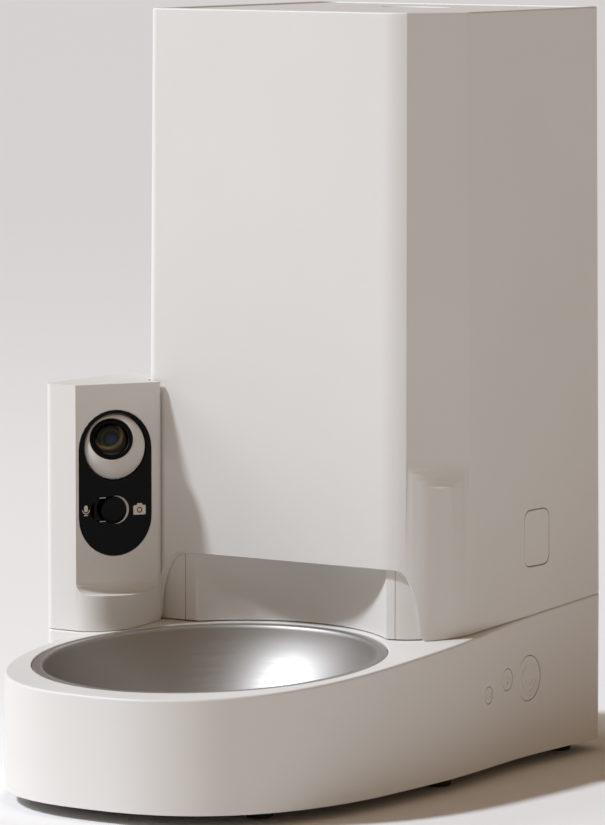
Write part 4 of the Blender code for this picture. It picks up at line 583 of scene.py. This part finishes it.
def film(name, width, height, along, up, rounding, place):
    """A flat film of ink with rounded corners, on the panel."""
    piece = block(name, (width, height, INK), Vector((along * MM, up * MM, INK * MM / 2)))
    if rounding:
        round_edges(piece, rounding * MM, 6, lambda m, d, a: abs(d.z) > 0.9)
    piece.data.transform(place)
    return piece


def ring_film(name, radius, width, start, sweep, place):
    """A flat arc of ink on the panel."""
    piece = arc_groove(radius, width, start, sweep, Matrix.Scale(INK / (2 * ENGRAVING_DEPTH), 4, (0, 0, 1)))
    piece.name = name
    piece.data.transform(place @ Matrix.Translation((0, 0, INK * MM / 2)))
    return piece


def joined(name, pieces):
    """The pieces joined into the first one."""
    bpy.ops.object.select_all(action="DESELECT")
    for piece in pieces:
        piece.select_set(True)
    bpy.context.view_layer.objects.active = pieces[0]
    bpy.ops.object.join()
    pieces[0].name = name
    return pieces[0]


camera_sign = on_panel(12.9, 125.6)
camera_film = film("camera_sign", 6.6, 4.7, 0, -0.3, 0.7, camera_sign)
hump_film = film("camera_hump", 2.8, 1.2, 0, 2.4, 0.35, camera_sign)
lens_cut = ring_film("lens_cut", 1.15, 0.5, 0, 360, camera_sign @ Matrix.Translation((0, -0.3 * MM, 0)))
lens_cut.data.transform(Matrix.Translation(PANEL_OUT * 0.01 * MM))
camera_film = joined("camera_sign", [camera_film, hump_film])
hand_over(camera_film, "base", print_ink)
lens_cut.name = "camera_sign_lens"
hand_over(lens_cut, "base", black_gloss)
mic_sign = on_panel(-15.7, 126.3)
mic_film = joined("microphone_sign", [
    film("mic_capsule", 1.9, 3.3, 0, 0.9, 0.94, mic_sign),
    ring_film("mic_yoke", 1.75, 0.42, 180, 180, mic_sign @ Matrix.Translation((0, 0.2 * MM, 0))),
    film("mic_stem", 0.42, 0.9, 0, -1.9, 0, mic_sign),
    film("mic_foot", 2.2, 0.42, 0, -2.4, 0, mic_sign),
])
hand_over(mic_film, "base", print_ink)
# The two dashes are painted highlights: light ink where the slot's upper and lower edges catch the light
for name, up in (("upper_slot_tick", 6.15), ("lower_slot_tick", -5.45)):
    slot_edge_glint = film(name, 3.2, 0.36, 0, up, 0, on_panel(-6.8, SWITCH_HEIGHT))
    hand_over(slot_edge_glint, "base", print_ink)

# Camera ball: a hollow ABS ball, cut flat in front for the lens and open behind
# It tilts on an axle inside and turns with the pan arm below it.
BALL_SPOT = Vector((AXIS_X - 0.09123, -0.016995, 0.157))
LENS_TURN = math.radians(37.2)
LENS_TILT = math.radians(22.3)
BALL = 16.5
BALL_INSIDE = 14.7
BALL_FACE = 12.1
BALL_BACK = -9.0
BALL_BORE = 10.6
ball_place = (
    Matrix.Translation(BALL_SPOT)
    @ Matrix.Rotation(LENS_TURN - math.pi / 2, 4, "Z")
    @ Matrix.Rotation(math.pi / 2 - LENS_TILT, 4, "Y")
)
ball_profile = [
    (BALL_BORE, math.sqrt(BALL_INSIDE ** 2 - BALL_BORE ** 2)), (BALL_BORE, BALL_FACE - 0.1),
    (BALL_BORE + 0.1, BALL_FACE),
]
front = math.asin(BALL_FACE / BALL)
back = math.asin(BALL_BACK / BALL)
for step in range(41):
    angle = front - 0.01 + (back - front + 0.01) * step / 40
    ball_profile.append((BALL * math.cos(angle), BALL * math.sin(angle)))
front = math.acos(BALL_BORE / BALL_INSIDE)
back = math.asin(BALL_BACK / BALL_INSIDE)
for step in range(31):
    angle = back + (front - back) * step / 30
    ball_profile.append((BALL_INSIDE * math.cos(angle), BALL_INSIDE * math.sin(angle)))
ball = turned_piece("camera_eyeball", ball_profile, 96, ball_place)
smooth(ball, 40)
# The ball is greyer than the housing, a painted shade, and smoother
ball_abs_painted_shade = moulded("white_abs_ball_painted_shade", "DDD8D1", "D7D1C9", 0.40, 0.5, 0.03, {"IOR": 1.53})
hand_over(ball, "camera", ball_abs_painted_shade, ["camera_ball"])

# Lens: a black ribbed bezel, coated glass and a grey baffle behind one another
# The glass's colour paints the amber arcs and the blue-green depth, painted reflections of the lens inside; a black rim
# frames it.
BEZEL_PROFILE = (
    (8.3, 10.2), (10.3, 10.2), (10.3, 12.2), (10.1, 12.4), (9.75, 12.4), (9.6, 12.15), (9.35, 12.15),
    (9.2, 12.35), (8.95, 12.3), (8.8, 11.9), (8.55, 11.8), (8.3, 11.4), (8.3, 10.2),
)
GLASS_PROFILE = (
    (0.0, 11.62), (1.6, 11.58), (3.4, 11.42), (5.2, 11.1), (6.6, 10.75), (7.6, 10.35), (8.0, 10.15),
    (8.0, 10.0), (0.0, 10.0),
)
BAFFLE_PROFILE = (
    (0.0, 4.15), (7.7, 4.15), (8.0, 4.45), (8.0, 9.4), (7.7, 9.65), (7.0, 9.65), (6.7, 8.9), (6.2, 8.9),
    (5.9, 8.1), (5.4, 8.1), (5.1, 7.3), (0.0, 7.3),
)
# Black satin plastic: finely grained so that it doesn't mirror light into the lens
black_satin = moulded(
    "black_satin_plastic", "080707", "060505", 0.36, 0.8, 0.01, {"IOR": 1.5, "Specular IOR Level": 0.2},
)
bezel = turned_piece("lens_ring", BEZEL_PROFILE, 96, ball_place)
smooth(bezel, 30)
hand_over(bezel, "camera", black_satin, ["lens_bezel"])

# Coated glass: painted reflections in its colour, rings by distance from the lens's axis and an amber crescent off
# centre
coated, tree, shader = new_finish(
    "lens_glass_painted_reflections", "0B1216", 0.07, {"IOR": 1.6, "Specular IOR Level": 0.35},
)
where = add(tree, "ShaderNodeTexCoord")
from_lens = add(
    tree, "ShaderNodeMapping",
    {"vector_type": "TEXTURE", "Location": BALL_SPOT, "Rotation": ball_place.to_euler()},
    {"Vector": where.outputs["Object"]},
)
GLASS_REACH = 8.2
painted_reflection_colours = {}
for name, (shift_x, shift_y, stops) in {
    "depth": (0.0, 0.0, (
        (0.0, "2C3844"), (0.26, "222D38"), (0.44, "12181F"), (0.56, "26322D"), (0.64, "3A3626"),
        (0.72, "161315"), (0.80, "231D26"), (0.90, "0C0B0D"), (1.0, "060606"),
    )),
    "crescent": (-2.6, -1.8, (
        (0.0, "000000"), (0.72, "000000"), (0.82, "5A5A2C"), (0.89, "6C4A26"), (0.95, "3A1E2C"),
        (0.985, "000000"), (1.0, "000000"),
    )),
}.items():
    flattened = add(
        tree, "ShaderNodeVectorMath",
        {"operation": "MULTIPLY_ADD", 1: (1.0, 1.0, 0.0), 2: (-shift_x * MM, -shift_y * MM, 0.0)},
        {0: from_lens.outputs["Vector"]},
    )
    reach = add(tree, "ShaderNodeVectorMath", {"operation": "LENGTH"}, {0: flattened.outputs["Vector"]})
    share = add(tree, "ShaderNodeMath", {"operation": "DIVIDE", 1: GLASS_REACH * MM}, {0: reach.outputs["Value"]})
    bands = add(tree, "ShaderNodeValToRGB", {}, {"Fac": share.outputs["Value"]})
    bands.color_ramp.elements[0].color = linear(stops[0][1])
    bands.color_ramp.elements[1].color = linear(stops[-1][1])
    for spot, colour in stops[1:-1]:
        bands.color_ramp.elements.new(spot).color = linear(colour)
    painted_reflection_colours[name] = bands.outputs["Color"]
summed = add(tree, "ShaderNodeMix", {"data_type": "RGBA", "blend_type": "ADD", 0: 1.0})
tree.links.new(painted_reflection_colours["depth"], summed.inputs[6])
tree.links.new(painted_reflection_colours["crescent"], summed.inputs[7])
tree.links.new(summed.outputs[2], shader.inputs["Base Color"])
smear = add(tree, "ShaderNodeTexNoise", {"Scale": 300.0, "Detail": 2.0}, {"Vector": where.outputs["Object"]})
wipe = add(tree, "ShaderNodeMapRange", {"To Min": 0.05, "To Max": 0.10}, {"Value": smear.outputs["Fac"]})
tree.links.new(wipe.outputs["Result"], shader.inputs["Roughness"])
glass = turned_piece("lens_front", GLASS_PROFILE, 96, ball_place)
smooth(glass, 50)
hand_over(glass, "camera", coated, ["lens_glass"])

# Grey ABS of the hidden parts: a coarser grain, slightly mottled by the regrind in it
grey_abs = moulded("grey_abs_moulded", "A9A8A5", "9F9E9B", 0.55, 0.8, 0.06, {"IOR": 1.53})
baffle = turned_piece("lens_baffle", BAFFLE_PROFILE, 64, ball_place)
smooth(baffle, 30)
hand_over(baffle, "camera", grey_abs, ["lens_barrel"])

# Pan arm: a grey ABS fork that carries the ball on a thin axle from behind
# Its pin turns in the shelf of the tower; the edges of the moulding are rounded.
arm = start_from_node("camera_pan_arm", "pan_fork")
round_edges(arm, 0.3 * MM, 2, lambda m, d, a: a > 60)
smooth(arm)
hand_over(arm, "pan_arm", grey_abs, ["camera_pan_arm"])

# Upper body: tall ABS shell with drawn-in sides and a grip flat on its right front corner
# The flat runs out in a hollow at its foot; the rim round the lid and the mouth of the
# outlet are rounded.
body = start_from_node("body_shell", "body_casing")
round_edges(body, 1.1 * MM, 4, lambda m, d, a: a > 60 and m.z > 370.5 * MM)
round_edges(body, 0.5 * MM, 2, lambda m, d, a: (
    a > 60 and abs(m.z - deck_at(m.y)) < 0.6 * MM and abs(d.z) < 0.3
))
round_edges(body, 0.6 * MM, 3, lambda m, d, a: (
    25 < a < 150 and m.y < 16 * MM and m.z < 106 * MM and deck_at(m.y) + 2 * MM < m.z
    and abs(m.x - AXIS_X) < 81 * MM
))
round_edges(body, 0.3 * MM, 2, lambda m, d, a: (
    a > 70 and 98 * MM < m.z < 128 * MM and 80 * MM < m.y < 106 * MM and abs(m.x - AXIS_X) > 84 * MM
))
smooth(body)
hand_over(body, "upper", white_abs, ["body_shell"])

# Outlet: a frame behind the opening and a liner whose round wall stands round the bowl
# Both are clipped behind the shell; their front edges are rounded so that the seam shows.
opening = start_from_node("opening_frame", "outlet_frame")
round_edges(opening, 0.35 * MM, 2, lambda m, d, a: 50 < a < 150 and m.y < 20 * MM)
smooth(opening)
hand_over(opening, "upper", white_abs, ["opening_frame"])
liner = start_from_node("outlet_liner", "outlet_lining")
round_edges(liner, 0.35 * MM, 2, lambda m, d, a: 50 < a < 150 and m.y < 12 * MM)
smooth(liner, 30)
hand_over(liner, "upper", white_abs, ["outlet_liner"])

# Release buttons: rounded ABS plates in both side walls that free the body from the base
# The face is plain with soft edges; the latch arm behind it is hidden in the body.
for side, sign in (("right", 1), ("left", -1)):
    node = f"release_button_{side}"
    button = start_from_node(node, f"{side}_release_key")
    low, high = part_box(node)
    face = high.x if sign > 0 else low.x
    round_edges(button, 0.5 * MM, 3, lambda m, d, a: a > 60 and abs(m.x - face) < 0.4 * MM)
    round_edges(button, 0.3 * MM, 2, lambda m, d, a: a > 60 and abs(m.x - face) > 2.5 * MM)
    smooth(button, 30)
    hand_over(button, node, white_abs, [node])

# Lid: a flat ABS plate let into the rim of the body, with a long finger hollow at its rear
# A skirt below it carries the seal; the edge of the plate and of the hollow are soft.
lid = start_from_node("hopper_lid", "lid_plate")
lid_low, lid_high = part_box("hopper_lid")
round_edges(lid, 0.5 * MM, 3, lambda m, d, a: a > 60 and m.z > lid_high.z - 0.1 * MM and abs(d.z) < 0.2)
round_edges(lid, 0.6 * MM, 3, lambda m, d, a: 15 < a < 60 and m.z > lid_high.z - 0.1 * MM)
round_edges(lid, 0.3 * MM, 2, lambda m, d, a: a > 60 and m.z < lid_low.z + 0.3 * MM)
smooth(lid)
hand_over(lid, "lid", white_abs, ["hopper_lid"])

# Lid seal: a grey silicone band stretched round the skirt, with rounded lips
# It closes the gap to the body's ledge so that the food stays dry.
seal_rubber = moulded("silicone_band", "8B8A88", "7F7E7C", 0.7, 0.7, 0.03, {"IOR": 1.43})
seal = start_from_node("lid_seal", "seal_band")
round_edges(seal, 0.35 * MM, 3, lambda m, d, a: a > 60 and abs(d.z) < 0.3)
smooth(seal)
hand_over(seal, "lid", seal_rubber, ["lid_seal"])

# Desiccant box: a natural acetal cup below the lid and its vented cover with a turning grip
# The cover locks by a part turn; its vents let damp air reach the desiccant bag.
acetal = moulded("acetal_natural", "EFEDE6", "E8E5DC", 0.42, 0.9, 0.03, {"IOR": 1.48})
for node, name, body_name in (
    ("desiccant_box", "drying_cup", "lid"), ("desiccant_cover", "drying_cup_cover", "desiccant_cover"),
):
    cup = start_from_node(node, name)
    round_edges(cup, 0.35 * MM, 2, lambda m, d, a: a > 60 and abs(d.z) < 0.3)
    smooth(cup)
    hand_over(cup, body_name, acetal, [node])

# Hopper tank: smoked clear plastic that follows the body and narrows to the rotor
# It hangs by a flange below the rim; its lips are polished round.
smoked = moulded(
    "smoked_tank", "C9C8C4", "BDBCB8", 0.18, 1.5, 0.01, {"IOR": 1.57, "Transmission Weight": 0.6},
)
tank = start_from_node("hopper_tank", "food_tank")
tank_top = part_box("hopper_tank")[1].z
round_edges(tank, 0.5 * MM, 3, lambda m, d, a: a > 60 and m.z > tank_top - 0.2 * MM)
smooth(tank, 30)
hand_over(tank, "upper", smoked, ["hopper_tank"])

# Dosing drive: housing, chute, sprung rubber rotor, shaft, agitator, gears and their case
# The housing and gears are acetal; the paddles are soft rubber so that kibble doesn't jam.
DRIVE_PIECES = (
    ("rotor_housing", "dosing_drum", "upper", acetal, "acetal", 0.5, 60),
    ("chute", "food_chute", "upper", acetal, "acetal", 0.3, 60),
    ("dispensing_rotor", "paddle_wheel", "rotor", soft_rubber, "soft_rubber", 0.4, 60),
    ("hopper_agitator", "stirrer", "rotor", acetal, "acetal", 0.3, 70),
    ("drive_gear", "big_gear", "rotor", acetal, "acetal", 0.2, 70),
    ("motor_pinion", "small_gear", "pinion", acetal, "acetal", 0.15, 70),
    ("gearbox_case", "gear_case", "upper", grey_abs, "grey_abs", 0.4, 60),
    ("chassis_plate", "upper_chassis", "upper", grey_abs, "grey_abs", 0.4, 60),
)
for node, name, body_name, material, slot, width, sharp in DRIVE_PIECES:
    part = start_from_node(node, name)
    round_edges(part, width * MM, 2, lambda m, d, a: sharp < a < 120 and abs(d.z) < 0.3)
    smooth(part, 30)
    hand_over(part, body_name, material, [node])

# Motors and shaft: turned steel cans with rolled edges and a raised boss, and a ground shaft
# The gear motor turns the pinion; the pan motor turns the camera's fork.
def can_profile(radius, top, bore, boss):
    """Outline of a drawn can with rolled edges, a boss on its top and a bore for its shaft."""
    return (
        (0.0, 0.0), (radius - 1.0, 0.0), (radius - 0.3, 0.3), (radius, 1.0), (radius, top - 3.4),
        (radius - 0.35, top - 3.2), (radius - 0.35, top - 2.6), (radius, top - 2.4), (radius, top - 1.4),
        (radius - 0.4, top - 0.7), (radius - 1.2, top - 0.5), (boss, top - 0.5), (boss - 0.3, top),
        (bore, top), (bore, top - 5.0), (0.0, top - 5.0),
    )


for node, name, body_name, bore, boss in (
    ("gear_motor", "feed_motor", "upper", 1.8, 5.0), ("pan_motor", "turning_motor", "base", 0.6, 3.0),
):
    low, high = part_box(node)
    place = Matrix.Translation(((low.x + high.x) / 2, (low.y + high.y) / 2, low.z))
    can = can_profile((high.x - low.x) / 2 / MM, (high.z - low.z) / MM, bore, boss)
    motor = turned_piece(name, can, 64, place)
    smooth(motor, 30)
    hand_over(motor, body_name, plated_steel, [node])
low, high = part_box("rotor_shaft")
length = (high.z - low.z) / MM
place = Matrix.Translation(((low.x + high.x) / 2, (low.y + high.y) / 2, low.z))
shaft = turned_piece("drive_shaft", (
    (0.0, 0.0), (3.6, 0.0), (4.0, 0.4), (4.0, 6.0), (3.7, 6.2), (3.7, 7.0), (4.0, 7.2),
    (4.0, length - 0.4), (3.6, length), (0.0, length),
), 48, place)
smooth(shaft, 30)
hand_over(shaft, "rotor", plated_steel, ["rotor_shaft"])

# Food sensors: two small black blocks of satin plastic that look across the outlet
# They tell the board whether food passes; their edges are rounded.
for side in ("right", "left"):
    node = f"food_sensor_{side}"
    eye = start_from_node(node, f"{side}_food_eye")
    round_edges(eye, 0.4 * MM, 3, lambda m, d, a: a > 60)
    smooth(eye)
    hand_over(eye, "upper", black_satin, [node])

# Bottom cover, battery tray and camera shelf: plain grey mouldings with broken edges
# The cover closes the base from below and carries the board's posts and the screw wells.
for node, name, width in (
    ("base_bottom_cover", "bottom_plate", 0.5), ("battery_tray", "cell_tray", 0.3), ("camera_shelf", "fork_shelf", 0.3),
):
    part = start_from_node(node, name)
    round_edges(part, width * MM, 2, lambda m, d, a: 60 < a < 120 and abs(d.z) < 0.3)
    smooth(part)
    hand_over(part, "base", grey_abs, [node])

# Battery cells: three D cells, each a steel can in a plain jacket with a crimped shoulder
# The positive nub is at the top, on an insulating step.
CELL_PROFILE = (
    (0.0, 0.35), (5.6, 0.35), (6.0, 0.0), (15.6, 0.0), (16.2, 0.3), (16.5, 1.0), (16.5, 57.2),
    (16.2, 57.9), (15.2, 58.4), (14.4, 58.1), (13.6, 57.7), (7.0, 57.7), (6.2, 58.3), (5.4, 58.6),
    (5.2, 60.4), (4.7, 61.0), (0.0, 61.0),
)
# Printed jacket film: satin dark grey over steel
cell_jacket = moulded("cell_jacket", "55575C", "4A4C50", 0.28, 2.0, 0.01, {"Metallic": 0.4})
first_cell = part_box("battery_cell_1")[0]
cell_middle = middle_of("battery_cell_1")
cell = turned_piece("cell_1", CELL_PROFILE, 64, Matrix.Translation((cell_middle.x, cell_middle.y, first_cell.z)))
cells = [cell]
for number in (2, 3):
    cells.append(copy_of(cell, f"cell_{number}", middle_of(f"battery_cell_{number}") - cell_middle))
for number, cell in enumerate(cells, 1):
    smooth(cell, 30)
    hand_over(cell, "base", cell_jacket, [f"battery_cell_{number}"])

# Circuit boards: green boards with their parts, the edges of board and chips broken
# The main board has three shielded parts; the others carry the switches and the camera.
board_green = moulded("solder_mask", "1C5A33", "184F2C", 0.35, 1.2, 0.02, {"IOR": 1.5})
for node, name in (("main_board", "control_board"), ("button_board", "key_board"), ("tower_board", "camera_board")):
    board = start_from_node(node, name)
    round_edges(board, 0.15 * MM, 2, lambda m, d, a: 60 < a < 120)
    smooth(board)
    hand_over(board, "base", board_green, [node])

# Speaker: a steel basket with a paper cone, a rolled surround and a dust cap
# It stands behind the slots in the foot of the tower and faces them.
SPEAKER_PROFILE = (
    (0.0, 2.0), (2.6, 1.9), (4.4, 2.5), (5.0, 3.2), (12.0, 0.9), (14.2, 0.5), (15.6, 0.1), (17.2, 0.45),
    (18.2, 0.15), (19.6, 0.0), (20.0, 0.4), (20.0, 2.6), (19.6, 3.0), (18.6, 3.2), (10.4, 7.8), (10.0, 8.2),
    (10.0, 11.6), (9.6, 12.0), (0.0, 12.0),
)
low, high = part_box("speaker")
speaker_spot = Matrix.Translation((low.x, (low.y + high.y) / 2, (low.z + high.z) / 2))
speaker_place = speaker_spot @ Matrix.Rotation(math.pi / 2, 4, "Y")
speaker = turned_piece("sound_cone", SPEAKER_PROFILE, 64, speaker_place)
smooth(speaker, 30)
hand_over(speaker, "base", plated_steel, ["speaker"])

# Power socket: a black block in the rear wall with a round bore and the centre pin
# The pin is plated; its front end is rounded and it stands back from the wall.
socket = start_from_node("power_socket", "inlet_block")
round_edges(socket, 0.3 * MM, 2, lambda m, d, a: 60 < a < 120)
smooth(socket)
hand_over(socket, "base", black_satin, ["power_socket"])
low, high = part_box("power_socket")
PIN_SETBACK = 2.2
PIN_PROFILE = ((0.0, 0.0), (0.6, -0.15), (0.95, -0.7), (1.0, -1.4), (1.0, -6.5), (0.0, -6.5))
pin_spot = Matrix.Translation(((low.x + high.x) / 2, high.y - PIN_SETBACK * MM, (low.z + high.z) / 2))
pin = turned_piece("inlet_pin", PIN_PROFILE, 32, pin_spot @ Matrix.Rotation(-math.pi / 2, 4, "X"))
smooth(pin, 50)
hand_over(pin, "base", plated_steel)

# CAD nodes under the detailed pieces: the same finishes, for poses and close looks
finishes = {
    "white_abs": white_abs, "grey_abs": grey_abs, "acetal": acetal, "clear_tank": smoked, "black_gloss": black_gloss,
    "dark_lens": coated, "brushed_steel": steel, "plated_steel": plated_steel, "cell_jacket": cell_jacket,
    "soft_rubber": soft_rubber, "board_green": board_green,
}
slot_of = {part["node"]: part["material_slot"] for part in frame["record"]["subparts"]}
for name, node in frame["nodes"].items():
    node.data.materials.clear()
    node.data.materials.append(finishes[slot_of[name]])
